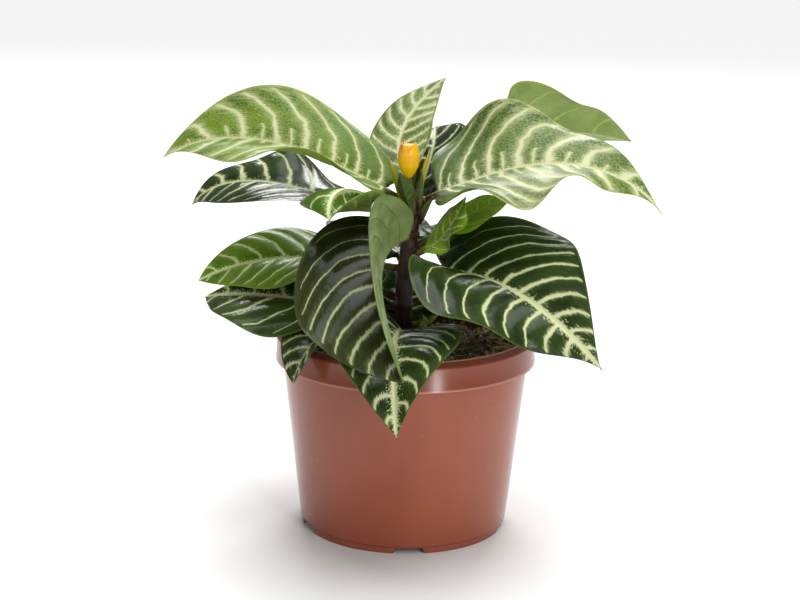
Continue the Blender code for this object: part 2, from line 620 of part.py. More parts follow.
def blade_surface(leaf, along, columns):
    """Points halfway through the blade for each station along it and each column across it."""
    places, forward, left, upward = midrib(leaf, along)
    least = between((leaf.petiole_radius, TIP_HALF_WIDTH), along)
    half = np.maximum(half_width(leaf, along), least)
    back = lobe_slip(leaf, along, half)
    steps = np.linspace(0.0, 1.0, SIDE_STEPS + 1)
    points = np.zeros((len(along), len(columns), 3))
    sections = {side: half_section(leaf, along, side) for side in (-1, 1)}
    for number, column in enumerate(columns):
        side = 1 if column > 0 else -1
        out, up = sections[side]
        lobe = leaf.lobe[0] if side > 0 else leaf.lobe[1]
        for row in range(len(along)):
            reach = np.interp(abs(column), steps, out[row]) * side * half[row]
            lift = np.interp(abs(column), steps, up[row]) * half[row]
            slip = -lobe * back[row] * abs(column) ** 1.3
            offset = reach * left[row] + lift * upward[row] + slip * forward[row]
            points[row, number] = places[row] + offset
    return points


def surface_normals(points):
    """Unit normals of a grid of points, out of the blade's upper face."""
    normals = np.cross(np.gradient(points, axis=0), np.gradient(points, axis=1))
    return normals / np.linalg.norm(normals, axis=-1, keepdims=True)


def leaf_points(leaf):
    """Upper and lower points of a whole leaf: rounded petiole sections that thin into the blade."""
    columns = np.array(BRACT_COLUMNS if leaf.small else COLUMNS)
    along = np.array(SMALL_STATIONS if leaf.small else STATIONS)
    middle = blade_surface(leaf, along, columns)
    normals = surface_normals(middle)
    _, forward, left, upward = midrib(leaf, along[:1])
    petiole_rows = 2 if leaf.petiole > LONG_PETIOLE else 1
    start = np.array(leaf.start)
    across = leaf.petiole_radius * columns[:, None] * left[0]
    shares = [row / petiole_rows for row in range(petiole_rows)]
    stalk_rows = np.array([start + forward[0] * leaf.petiole * share + across for share in shares])
    middle[0] = start + forward[0] * leaf.petiole + across
    normals[0] = upward[0]
    middle = np.concatenate([stalk_rows, middle])
    normals = np.concatenate([np.broadcast_to(upward[0], stalk_rows.shape), normals])
    along = np.concatenate([np.zeros(petiole_rows), along])
    roundness = np.clip(1.0 - along / STALK_SHARE, 0.0, 1.0)[:, None]
    stalk_height = leaf.petiole_radius * np.sqrt(1.0 - STALK_EDGE * columns ** 2)[None, :]
    flat = 0.5 * leaf.thickness
    ridge_height = MIDRIB_RIDGE * leaf.petiole_radius / PETIOLE_RADIUS * (1.0 - 0.85 * along[:, None])
    ridge = ridge_height * np.exp(-(columns / RIDGE_WIDTH) ** 2)[None, :]
    above = roundness * stalk_height + (1.0 - roundness) * flat
    below = roundness * stalk_height + (1.0 - roundness) * (flat + ridge)
    return middle + above[..., None] * normals, middle - below[..., None] * normals


def leaf_faces(rows, columns):
    """Triangles of a leaf: both faces split alike, and a strip round the edge and both ends."""
    faces = []
    under = rows * columns

    def quad(a, b, c, d):
        faces.append((a, b, c))
        faces.append((a, c, d))

    for row in range(rows - 1):
        for column in range(columns - 1):
            a = row * columns + column
            b = a + columns
            quad(a, b, b + 1, a + 1)
            quad(under + a, under + a + 1, under + b + 1, under + b)
        right = row * columns
        quad(right, under + right, under + right + columns, right + columns)
        left = right + columns - 1
        quad(left, left + columns, under + left + columns, under + left)
    last = (rows - 1) * columns
    for column in range(columns - 1):
        quad(column, column + 1, under + column + 1, under + column)
        end = last + column
        quad(end, under + end, under + end + 1, end + 1)
    return faces


def leaf_object(name, leaf, material):
    """A leaf or bract as one closed solid."""
    above, below = leaf_points(leaf)
    rows, columns = above.shape[:2]
    points = np.concatenate([above.reshape(-1, 3), below.reshape(-1, 3)])
    return add_object(name, points, leaf_faces(rows, columns), material, 50.0)


def bud_radius(share):
    """Radius of the bud's core at a share of its height."""
    return float(np.interp(share, np.linspace(0.0, 1.0, len(BUD_RADII)), BUD_RADII))


def bud_core():
    """The solid core that carries the bud's bracts."""
    points = []
    for share in np.linspace(0.0, 1.0, len(BUD_RADII)):
        centre = np.array([BUD_AXIS_X, 0.0, BUD_FOOT_HEIGHT + BUD_HEIGHT * BUD_CORE_HEIGHT * share])
        points += ring_about(centre, UP, bud_radius(share) * BUD_CORE_WIDTH, BUD_SIDES)
    return add_object("bud_core", points, loft_faces(len(BUD_RADII), BUD_SIDES), None)


def bud_bract(azimuth, low, high, spread, lift):
    """One broad bract: a patch of the bud's surface, sunk into the core at its inner side."""
    points = []
    for along in np.linspace(0.0, 1.0, BUD_BRACT_ROWS):
        share = low + (high - low) * along
        radius = bud_radius(share)
        half = math.radians(spread) * (1.0 - BUD_BRACT_TAPER * along ** 3)
        centre = np.array([BUD_AXIS_X, 0.0, BUD_FOOT_HEIGHT + BUD_HEIGHT * share])
        outer, inner = [], []
        for side in np.linspace(-1.0, 1.0, BUD_BRACT_COLUMNS):
            turn = math.radians(azimuth) + half * side
            away = np.array([math.cos(turn), math.sin(turn), 0.0])
            raised = lift * (1.0 - 0.5 * side ** 2) * between((0.3, 1.0), along)
            outer.append(centre + away * (radius + raised))
            inner.append(centre + away * (radius - BUD_BRACT_DEPTH))
        points += outer + inner[::-1]
    return add_object("bud_bract", points, loft_faces(BUD_BRACT_ROWS, 2 * BUD_BRACT_COLUMNS), None)


def bud():
    """The yellow flower bud: its bracts overlap like tiles, lower ones outside."""
    bracts = [bud_bract(*whorl) for whorl in BUD_WHORLS]
    material = plain_material("yellow_bract", (0.90, 0.42, 0.01), 0.45)
    return join_by_union("flower_bud", [bud_core()] + bracts, material)


def build():
    """Make every piece of the plant and its pot."""
    remove_all()
    pot()
    soil()
    materials = {
        "leaf_pale": plain_material("leaf_pale", (0.17, 0.30, 0.08), 0.4),
        "leaf_green": plain_material("leaf_green", (0.06, 0.16, 0.02), 0.35),
        "leaf_dark": plain_material("leaf_dark", (0.02, 0.055, 0.015), 0.3),
        "bract_green": plain_material("bract_green", (0.05, 0.11, 0.02), 0.4),
        "bract_yellow_green": plain_material("bract_yellow_green", (0.25, 0.32, 0.03), 0.4),
    }
    pieces = list(LEAVES.items()) + list(BRACTS.items())
    stem([leaf for _, (_, leaf) in pieces])
    bud()
    for name, (slot, leaf) in pieces:
        leaf_object(name, leaf, materials[slot])


build()
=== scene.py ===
"""Looks for the potted zebra plant: veined leaves, bracts, bud, stem, soil and pot round the frame.

Every leaf is lofted again from the same description as its solid, on a finer grid, and carries
numbers at its points that the leaf materials turn into veins. Lengths are in millimetres and angles
in degrees, as in the part's source, and MM turns them into metres. The camera looks along +Y.
"""

import math
from dataclasses import dataclass, replace

import bpy
import numpy as np
from mathutils import Matrix, Vector, noise


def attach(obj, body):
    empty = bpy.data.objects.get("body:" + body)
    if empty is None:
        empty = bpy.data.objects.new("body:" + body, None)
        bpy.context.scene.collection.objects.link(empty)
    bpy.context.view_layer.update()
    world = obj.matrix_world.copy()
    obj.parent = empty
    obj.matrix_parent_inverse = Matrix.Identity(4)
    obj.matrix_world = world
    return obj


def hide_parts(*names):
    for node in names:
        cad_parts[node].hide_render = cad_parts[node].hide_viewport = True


MM = 0.001
UP = np.array([0.0, 0.0, 1.0])

# Camera: on the photograph's line of sight, with a long lens
CAMERA_PLACE = (0.0, -969.0, 369.0)
CAMERA_PITCH = 14.68
CAMERA_YAW = -0.19
CAMERA_ROLL = 0.90
CAMERA_LENS = 90.0
SENSOR_WIDTH = 36.0

# Light: how bright the even surround is, and the broad patch of sky
SURROUND = 0.28
SKY_SOURCE = (0.1, 0.12, 1.0)
SKY_STRENGTH = 2.6
SKY_BREADTH = 50.0

# Soft boxes of light: each one's place and size in metres, and its power; all face the target
LIGHT_TARGET = (0.0, 0.0, 0.12)
SOFT_BOXES = {
    "left_box": ((-0.9, -0.75, 0.75), (0.4, 0.9), 1.0),
    "right_box": ((0.50, -1.0, 0.40), (0.12, 0.8), 5.0),
    "back_box": ((0.05, 1.1, 0.95), (0.9, 0.22), 12.0),
}
FLOOR_REACH = 8.0

# Pot: the same turned outline as its solid, with a small bead round the collar's lower edge
POT_HEIGHT = 101.0
RIM_RADIUS = 65.0
LIP_RADIUS = 62.0
NECK_HEIGHT = 85.6
NECK_RADIUS = 61.6
SKIRT_HEIGHT = 86.0
SKIRT_WALL = 1.3
SKIRT_BEAD = 0.35
SKIRT_BEAD_HEIGHT = 0.8
LIP_DROP = 3.2
LIP_OUTER_EDGE = 0.6
LIP_INNER_EDGE = 1.0
LIP_ROUNDING = 0.8
INNER_FLARE = 0.06
FOOT_RADIUS = 51.6
FOOT_RING_HEIGHT = 3.0
FOOT_RING_WIDTH = 2.4
FOOT_STEP = 0.4
FOOT_STEP_HEIGHT = 0.8
WALL = 1.4
POT_SEGMENTS = 180
EDGE_ROUNDING = 0.4
ROUNDED_ANGLE = 28.0
SHARP_ANGLE = 35.0
NOTCH_COUNT = 5
NOTCH_FIRST_AZIMUTH = -86.3
NOTCH_WIDTH_TOP = 13.4
NOTCH_WIDTH_BOTTOM = 16.8
NOTCH_HEIGHT = 2.6
DRAIN_RADIUS = 4.5
DRAIN_CIRCLE_RADIUS = 34.0
DRAIN_SIDES = 36
CUTTER_MARGIN = 1.0

# Soil: its crumbly top, and the loose bits that lie on it
SOIL_EDGE_HEIGHT = 89.0
SOIL_MIDDLE_HEIGHT = 93.0
SOIL_ROWS = 70
SOIL_SEGMENTS = 240
SOIL_HOLE = 4.7
SOIL_HOLE_EDGE = 1.2
SOIL_HOLE_SHIFT = 1.0
SOIL_SHIFT_REACH = 12.0
SOIL_WALL_GAP = 0.3
SOIL_SKIRT_GAP = 0.4
SOIL_SKIRT_HEIGHT = 80.0
CLOD_HEIGHT = 1.5
CRUMB_HEIGHT = 0.9
CRUMB_COUNT = 2600
CRUMB_LEAST = 0.35
CRUMB_SPREAD = 1.9
FIBRE_COUNT = 420
FIBRE_LENGTHS = (3.0, 11.0)
FIBRE_RADII = (0.16, 0.42)
FIBRE_BEND = 1.6
FIBRE_SEGMENTS = 6
SOIL_SEED = 11
SCATTER_REACH = 58.0
LITTER_RADIUS = 57.0
STEM_CLEARANCE = 7.0

# Twigs on the soil: each one's place on it, length and radius
TWIGS = (
    (27.0, -40.0, 12.0, 0.7),
    (22.0, -30.0, 12.0, 0.6),
    (34.0, -22.0, 8.0, 0.6),
    (41.0, -12.0, 7.0, 0.5),
    (-30.0, 22.0, 16.0, 0.9),
)

# Stem: its path, its radius with a swelling at each joint, and the petiole bases
STEM_FOOT_HEIGHT = 86.0
STEM_TOP_HEIGHT = 177.6
STEM_RADIUS = 4.1
STEM_SIDES = 40
STEM_RINGS = 90
STEM_PATH_HEIGHTS = (66.0, 92.0, 125.0, 140.0, 158.0, 166.0, 177.0)
STEM_PATH_X = (-1.0, -1.0, -1.5, 0.5, 2.5, 2.0, 0.3)
STEM_RADIUS_HEIGHTS = (66.0, 84.0, 96.0, 140.0, 165.0, 171.0, 177.0)
STEM_RADII = (1.2, 3.6, STEM_RADIUS + 0.3, STEM_RADIUS, STEM_RADIUS - 0.5, 2.2, 1.5)
STEM_SKIN_SHARE = 0.99
STEM_JOINTS = (98.0, 113.0, 130.0, 143.0, 158.0)
JOINT_SWELL = 0.45
JOINT_SPREAD = 1.6
FLUTE_COUNT = 4
FLUTE_DEPTH = 0.12
FLUTE_TWIST = 0.02
STEM_VOXEL = 0.35
STUB_SIDES = 18
STUB_RADIUS = 2.0
STUB_STRAIGHT = 2.5
STUB_REACH = 0.2

# Leaves: rows on the blade, columns across and rows on the petiole, and how thick the blade looks
LEAF_GRID = (128, 57, 18)
SMALL_GRID = (40, 25, 10)
BLADE_THICKNESS = 0.45
PETIOLE_RADIUS = 1.7
BRACT_STALK = 2.0
BRACT_STALK_RADIUS = 0.9
TIP_HALF_WIDTH = 0.5
CURVE_STEPS = 384
SIDE_STEPS = 48
LOBE_REACH = 0.45
LOBE_SHOULDER = 0.12
STALK_SHARE = 0.14
STALK_EDGE = 0.93
STUB_OVERLAP = 0.7
COLUMN_CROWDING = 1.15
ROW_CROWDING = 1.1
CHANNEL_DEPTH = 0.45
CHANNEL_REACH = 1.3
RIDGE_DEPTH = 1.0
RIDGE_REACH = 1.2
QUILT_HEIGHT = 0.7
QUILT_SINK = 0.35
VEIN_ARCH = 2.2

# Flower bud: broad bracts laid over one another, round a closed heart
BUD_FOOT_HEIGHT = 177.3
BUD_HEIGHT = 18.0
BUD_RADII = (1.5, 3.4, 4.8, 5.2, 5.2, 4.7, 3.5)
BUD_SHELL = 0.5
BUD_ROWS = 26
BUD_COLUMNS = 17
HEART_RINGS = 12
HEART_SIDES = 36
HEART_HEIGHT_SHARE = 0.93
HEART_RADIUS_SHARE = 0.9

# Bracts of the bud: each one's azimuth, the shares of the bud's height at which it begins and
# ends, the angle that each half of it covers, and how far its tip stands off
BUD_WHORLS = (
    (10.0, 0.30, 0.99, 80.0, -0.15), (190.0, 0.30, 0.97, 80.0, -0.15),
    (-36.0, 0.10, 0.99, 70.0, 0.20), (145.0, 0.10, 0.97, 68.0, 0.20),
    (55.0, 0.05, 0.93, 62.0, 0.50), (-128.0, 0.05, 0.92, 62.0, 0.50),
    (-80.0, 0.02, 0.68, 62.0, 0.85), (98.0, 0.02, 0.62, 54.0, 0.85),
)


@dataclass
class Leaf:
    """One leaf or bract: where its petiole starts, how its midrib runs and how each half bends.

    Left is the half on the left when the leaf is seen from above with its tip pointing away. The
    pairs give the value at the blade's base and at its tip. A wave is (amplitude, phase).
    """

    start: tuple
    petiole: float
    azimuth: float
    rise: float
    length: float
    width: float
    sweep: float = 0.0
    droop: float = 50.0
    bend: float = 1.2
    widest: float = 0.45
    lobe: tuple = (0.15, 0.15)
    base_power: float = 0.75
    tip_power: float = 1.0
    roll: tuple = (0.0, 0.0)
    fold_left: tuple = (12.0, 12.0)
    fold_right: tuple = (12.0, 12.0)
    curl_left: tuple = (-20.0, -20.0)
    curl_right: tuple = (-20.0, -20.0)
    wave_left: tuple = (8.0, 0.0)
    wave_right: tuple = (8.0, 0.0)
    waves: float = 2.0
    small: bool = False
    petiole_radius: float = PETIOLE_RADIUS


def bract(start, azimuth, rise, length, width, **form):
    """A bract: a small thin leaf with a short stalk, slightly hollow towards the bud."""
    hollow = {"droop": 4, "bend": 1.0, "widest": 0.42, "lobe": (0.0, 0.0)}
    for side in ("left", "right"):
        hollow["fold_" + side] = (15, 20)
        hollow["curl_" + side] = (20, 20)
        hollow["wave_" + side] = (0, 0)
    hollow.update(form)
    return Leaf(start, BRACT_STALK, azimuth, rise, length, width, small=True,
                petiole_radius=BRACT_STALK_RADIUS, **hollow)


@dataclass
class Veins:
    """A leaf's pattern: how many veins a side, how they lean forward and how wide they show.

    The pairs are (left, right), but growth is the share of the width that the first and the last
    veins have, and rib is the midrib's half width at the blade's base and where it is widest.
    Crowd is how much closer the veins stand at the base, and wider at the tip.
    Short is the share of the width that the short veins between the others have. From 0 to 1,
    fresh tells how young and bright the blade is, bronze how brown, and haze how pale beside veins.
    """

    count: float = 10.0
    first: tuple = (0.0, 0.35)
    crowd: float = 0.0
    lean: tuple = (0.2, 0.2)
    bend: float = 0.6
    width: float = 0.55
    growth: tuple = (0.75, 1.1)
    rib: tuple = (0.35, 1.2)
    short: float = 0.0
    fresh: float = 0.0
    bronze: float = 0.0
    haze: float = 1.0


# Leaves, from the top of the stem down: each with its colour, and the form that it has grown to
LEAVES = {
    "leaf_top_left": ("leaf_pale", Leaf(
        (-5.0, 2.0, 167.0), petiole=8, azimuth=170, rise=27, length=119, width=67,
        sweep=2, droop=60, bend=1.8, lobe=(0.13, 0.15), tip_power=0.95, roll=(-21, -19),
        fold_left=(27, 14), fold_right=(29, 34), curl_left=(11, -12), curl_right=(-20, -8),
        wave_left=(21, -71), wave_right=(14, 133), waves=1.4)),
    "leaf_top_right": ("leaf_pale", Leaf(
        (8.7, 1.1, 166.3), petiole=7, azimuth=5, rise=24, length=121, width=88,
        sweep=-11, droop=77, bend=1.7, widest=0.3, lobe=(0.0, 0.05), base_power=0.7, tip_power=1.4,
        roll=(10, 18), fold_left=(25, 14), fold_right=(8, 10), curl_left=(-2, 1), curl_right=(2, -18),
        wave_left=(17, 164), wave_right=(19, -19), waves=2.3)),
    "leaf_top_back": ("leaf_pale", Leaf(
        (1.8, 6.3, 170.2), petiole=8, azimuth=117, rise=34, length=75, width=32,
        sweep=-97, droop=-3, tip_power=0.9, roll=(-13, 19),
        fold_left=(12, 10), fold_right=(22, 6), curl_left=(-21, -21), curl_right=(-14, -24),
        wave_left=(7, -62), wave_right=(9, 51), waves=1.9)),
    "leaf_top_back_right": ("leaf_green", Leaf(
        (6.4, 4.9, 157.6), petiole=17, azimuth=65, rise=31, length=137, width=65,
        sweep=-63, droop=46, bend=0.9, base_power=0.9, tip_power=0.9, roll=(-32, -52),
        fold_left=(14, 30), fold_right=(15, 34), curl_left=(-18, -4), curl_right=(-28, -12),
        wave_left=(5, 18), wave_right=(28, 96))),
    "leaf_upper_front_folded": ("leaf_green", Leaf(
        (-3.0, -5.0, 161.0), petiole=8, azimuth=207, rise=32, length=63, width=50,
        sweep=66, droop=78, bend=1.6, widest=0.5, tip_power=1.05, roll=(-12, -32),
        fold_left=(-80, -78), fold_right=(-30, -10), curl_left=(205, 212), curl_right=(-60, -65),
        wave_left=(0, 0), wave_right=(9, 0), waves=2.1)),
    "leaf_upper_left": ("leaf_dark", Leaf(
        (-4.0, 5.0, 156.0), petiole=14, azimuth=165, rise=13, length=110, width=57,
        sweep=-18, droop=61, bend=2.5, roll=(12, -29),
        fold_left=(12, 0), fold_right=(10, 23), curl_left=(-10, -20), curl_right=(-20, -9),
        wave_left=(0, 0), wave_right=(13, 0), waves=2.4)),
    "leaf_upper_back": ("leaf_dark", Leaf(
        (2.0, 7.0, 160.0), petiole=14, azimuth=71, rise=34, length=60, width=44,
        sweep=21, droop=26, bend=1.3, widest=0.5, lobe=(0.1, 0.1), roll=(-10, -15),
        fold_right=(17, 20), curl_right=(-7, -7), wave_right=(7, -28), waves=1.8)),
    "leaf_upper_right_back": ("leaf_green", Leaf(
        (6.2, 2.4, 141.5), petiole=16, azimuth=13, rise=35, length=38, width=32,
        sweep=6, droop=30, widest=0.42, lobe=(0.03, 0.03), base_power=0.7, roll=(7, -2),
        fold_left=(11, 19), fold_right=(1, 11), curl_left=(-20, -14), curl_right=(-25, -20),
        wave_left=(10, -19), wave_right=(5, 168), waves=1.7)),
    "leaf_front_arching": ("leaf_dark", Leaf(
        (3.0, -6.0, 150.0), petiole=6, azimuth=239, rise=1, length=104, width=84,
        sweep=69, droop=65, bend=1.05, widest=0.54, lobe=(0.13, 0.16), base_power=0.7, tip_power=0.8,
        roll=(-25, 32), fold_left=(95, 96), fold_right=(18, -2), curl_left=(-1, 5), curl_right=(-8, -15),
        wave_left=(2, -115), wave_right=(14, -68), waves=1.8)),
    "leaf_small_right": ("leaf_green", Leaf(
        (5.8, -3.5, 140.5), petiole=5, azimuth=-30, rise=29, length=35, width=25,
        sweep=25, droop=-44, bend=0.7, lobe=(0.11, 0.11), roll=(32, 29),
        fold_left=(21, 9), fold_right=(14, 4), curl_left=(-13, -23), curl_right=(-17, -24),
        wave_left=(0, 0), wave_right=(25, 12), waves=2.3)),
    "leaf_middle_back_right": ("leaf_green", Leaf(
        (3.6, 5.7, 142.0), petiole=11, azimuth=52, rise=6, length=71, width=46, sweep=3, droop=49)),
    "leaf_middle_left": ("leaf_green", Leaf(
        (-5.9, 3.6, 131.1), petiole=13, azimuth=166, rise=5, length=91, width=54,
        sweep=12, droop=33, bend=1.4, tip_power=0.9, roll=(-2, -35),
        fold_left=(13, 10), fold_right=(5, 21), curl_left=(-19, -22), curl_right=(-26, -12),
        wave_left=(7, -34), wave_right=(3, 171), waves=1.7)),
    "leaf_middle_right": ("leaf_dark", Leaf(
        (6.0, -2.0, 128.0), petiole=20, azimuth=-45, rise=17, length=103, width=89,
        sweep=11, droop=60, bend=0.7, widest=0.3, lobe=(0.21, 0.08), base_power=1.0, tip_power=1.3,
        roll=(-1, 49), fold_left=(31, 13), fold_right=(20, -1), curl_left=(-3, -17), curl_right=(22, -42),
        wave_left=(17, 83), wave_right=(22, 144), waves=1.5)),
    "leaf_middle_back_left": ("leaf_dark", Leaf(
        (-0.1, 6.3, 128.1), petiole=14, azimuth=109, rise=23, length=79, width=56, sweep=-5, droop=63)),
    "leaf_lower_back_left": ("leaf_green", Leaf(
        (-4.5, 5.5, 115.1), petiole=11, azimuth=133, rise=6, length=76, width=50,
        sweep=10, droop=49, roll=(-13, -1), fold_left=(5, 12), curl_left=(-26, -20))),
    "leaf_lower_back_right": ("leaf_dark", Leaf(
        (4.0, 4.0, 113.0), petiole=12, azimuth=40, rise=15, length=80, width=54, sweep=-9, droop=52)),
    "leaf_lower_left": ("leaf_dark", Leaf(
        (-7.5, 0.9, 110.4), petiole=12, azimuth=196, rise=8, length=88, width=67,
        sweep=-52, droop=25, bend=2.1, tip_power=0.9, roll=(-18, -28),
        fold_left=(25, 10), fold_right=(18, 9), curl_left=(-16, -24), curl_right=(-15, -23),
        wave_left=(12, -42), wave_right=(8, 8), waves=1.8)),
    "leaf_low_front_left": ("leaf_dark", Leaf(
        (-6.0, -4.5, 98.0), petiole=12, azimuth=219, rise=22, length=68, width=45,
        sweep=22, droop=87, bend=1.4, tip_power=0.85, roll=(-25, -1),
        fold_left=(40, 54), fold_right=(5, 6), curl_left=(-30, -17), curl_right=(-21, -19),
        wave_left=(9, -13), wave_right=(2, 176), waves=1.7)),
    "leaf_low_front": ("leaf_dark", Leaf(
        (-1.1, -6.3, 97.2), petiole=7.5, azimuth=262, rise=33, length=98, width=66,
        sweep=15, droop=89, bend=0.8, widest=0.48, lobe=(0.14, 0.15), base_power=0.9, tip_power=1.1,
        roll=(-23, 17), fold_left=(18, 35), fold_right=(28, 25), curl_left=(-13, 2), curl_right=(-10, -10),
        wave_left=(9, -16), wave_right=(14, 39), waves=1.4)),
    "leaf_low_back": ("leaf_dark", Leaf(
        (-1.0, 6.4, 97.2), petiole=10, azimuth=84, rise=28, length=97, width=58, sweep=5, droop=75)),
    "leaf_basal_left": ("leaf_green", Leaf(
        (-7.2, 1.0, 103.0), petiole=2, azimuth=182, rise=45, length=7, width=6,
        lobe=(0.1, 0.1), fold_left=(30, 30), fold_right=(30, 30), curl_left=(10, 10), curl_right=(10, 10),
        wave_left=(4, 0), wave_right=(4, 0), small=True, petiole_radius=1.3)),
    "leaf_basal_front": ("leaf_green", Leaf(
        (5.4, -2.8, 102.0), petiole=3, azimuth=-30, rise=30, length=20, width=12,
        sweep=-120, droop=35, bend=1.0, lobe=(0.0, 0.0), fold_left=(35, 35), fold_right=(35, 35),
        curl_left=(15, 15), curl_right=(15, 15), wave_left=(4, 0), wave_right=(4, 0), small=True,
        petiole_radius=1.3)),
}

# Bracts: the small leaves that stand round the flower bud
BRACTS = {
    "bract_front": ("bract_green", bract(
        (2.2, -5.2, 160.5), azimuth=237, rise=58, length=23, width=10.4, sweep=-6, droop=-12, widest=0.5,
        base_power=0.85, roll=(21, 13), fold_left=(31, 24), fold_right=(20, 17),
        curl_left=(36, 23), curl_right=(24, 17))),
    "bract_left": ("bract_yellow_green", bract(
        (-2.6, -2.0, 163.5), azimuth=191, rise=70, length=24, width=6, droop=-7)),
    "bract_right": ("bract_yellow_green", bract(
        (6.3, 0.8, 170.3), azimuth=4, rise=81, length=19, width=6)),
    "bract_narrow": ("bract_green", bract(
        (5.9, -4.2, 162.5), azimuth=-60, rise=84, length=18, width=3.4, droop=-6)),
    "bract_low_right": ("bract_green", bract(
        (7.2, -4.6, 158.0), azimuth=-45, rise=58, length=12, width=5, droop=-5)),
    "bract_back": ("bract_green", bract(
        (3.2, 4.2, 171.5), azimuth=62, rise=82, length=16, width=7)),
}


# Veins of the small leaves and bracts, and of the leaves whose pattern differs from the usual one
SMALL_VEINS = Veins(count=6.0, width=0.2, rib=(0.2, 0.4))
VEINS = {
    "leaf_top_left": Veins(count=7.6, first=(0.9, 0.6), crowd=0.35, lean=(0.2, 0.1), bend=0.75,
                           width=1.2, growth=(0.45, 1.0), rib=(0.5, 0.7), short=0.4, fresh=0.18,
                           haze=0.8),
    "leaf_top_right": Veins(count=7.2, first=(0.9, 0.6), crowd=0.4, lean=(0.1, 0.2), width=1.3,
                            growth=(0.5, 1.0), rib=(0.6, 0.8), short=0.3, haze=1.25),
    "leaf_top_back": Veins(count=8.5, lean=(0.4, 0.4), width=0.45, growth=(0.7, 0.9), rib=(0.5, 0.7),
                           haze=0.25),
    "leaf_top_back_right": Veins(count=5.5, width=0.5, rib=(0.5, 0.6)),
    "leaf_upper_front_folded": Veins(count=3.8, width=0.4, rib=(0.7, 1.5), fresh=0.1),
    "leaf_upper_left": Veins(count=8.5, width=0.7, rib=(0.5, 0.7)),
    "leaf_upper_back": Veins(count=5.0, width=0.5, rib=(0.4, 0.6)),
    "leaf_upper_right_back": Veins(count=6.0, width=0.3, rib=(0.4, 0.5), fresh=1.0),
    "leaf_front_arching": Veins(count=9.5, lean=(0.2, 0.3), width=0.5, rib=(0.3, 0.5), bronze=0.75),
    "leaf_middle_left": Veins(count=7.5, lean=(0.35, 0.35), width=0.55, rib=(0.4, 1.1), fresh=0.35),
    "leaf_lower_left": Veins(count=5.5, lean=(0.3, 0.3), width=0.6, rib=(0.4, 1.1), fresh=0.05),
    "leaf_small_right": Veins(count=5.5, width=0.4, rib=(0.4, 0.7), fresh=0.7),
    "leaf_middle_right": Veins(count=9.5, first=(1.7, 0.35), lean=(0.3, -0.1), bend=0.65, width=0.7,
                               rib=(0.3, 1.2)),
    "leaf_low_front": Veins(count=8.5, lean=(0.0, 0.0), bend=0.95, width=0.6, rib=(0.5, 1.5)),
    "leaf_low_front_left": Veins(count=8.0, width=0.3, rib=(0.4, 0.4), bronze=0.3),
    "leaf_basal_left": replace(SMALL_VEINS, fresh=0.2),
    "leaf_basal_front": replace(SMALL_VEINS, fresh=0.2),
}


class Number:
    """A number in a material's node tree, which adds and multiplies like a plain one."""

    def __init__(self, graph, socket):
        self.graph = graph
        self.socket = socket

    def __add__(self, other):
        return self.graph.math("ADD", self, other)

    def __sub__(self, other):
        return self.graph.math("SUBTRACT", self, other)

    def __rsub__(self, other):
        return self.graph.math("SUBTRACT", other, self)

    def __mul__(self, other):
        return self.graph.math("MULTIPLY", self, other)

    def power(self, exponent):
        """This number to a power."""
        return self.graph.math("POWER", self, exponent)

    def smooth(self, low, high):
        """From 0 where this number is low to 1 where it is high, with soft ends."""
        node = self.graph.nodes.new("ShaderNodeMapRange")
        node.interpolation_type = "SMOOTHSTEP"
        for name, value in (("Value", self), ("From Min", low), ("From Max", high)):
            self.graph.feed(node.inputs[name], value)
        return Number(self.graph, node.outputs["Result"])


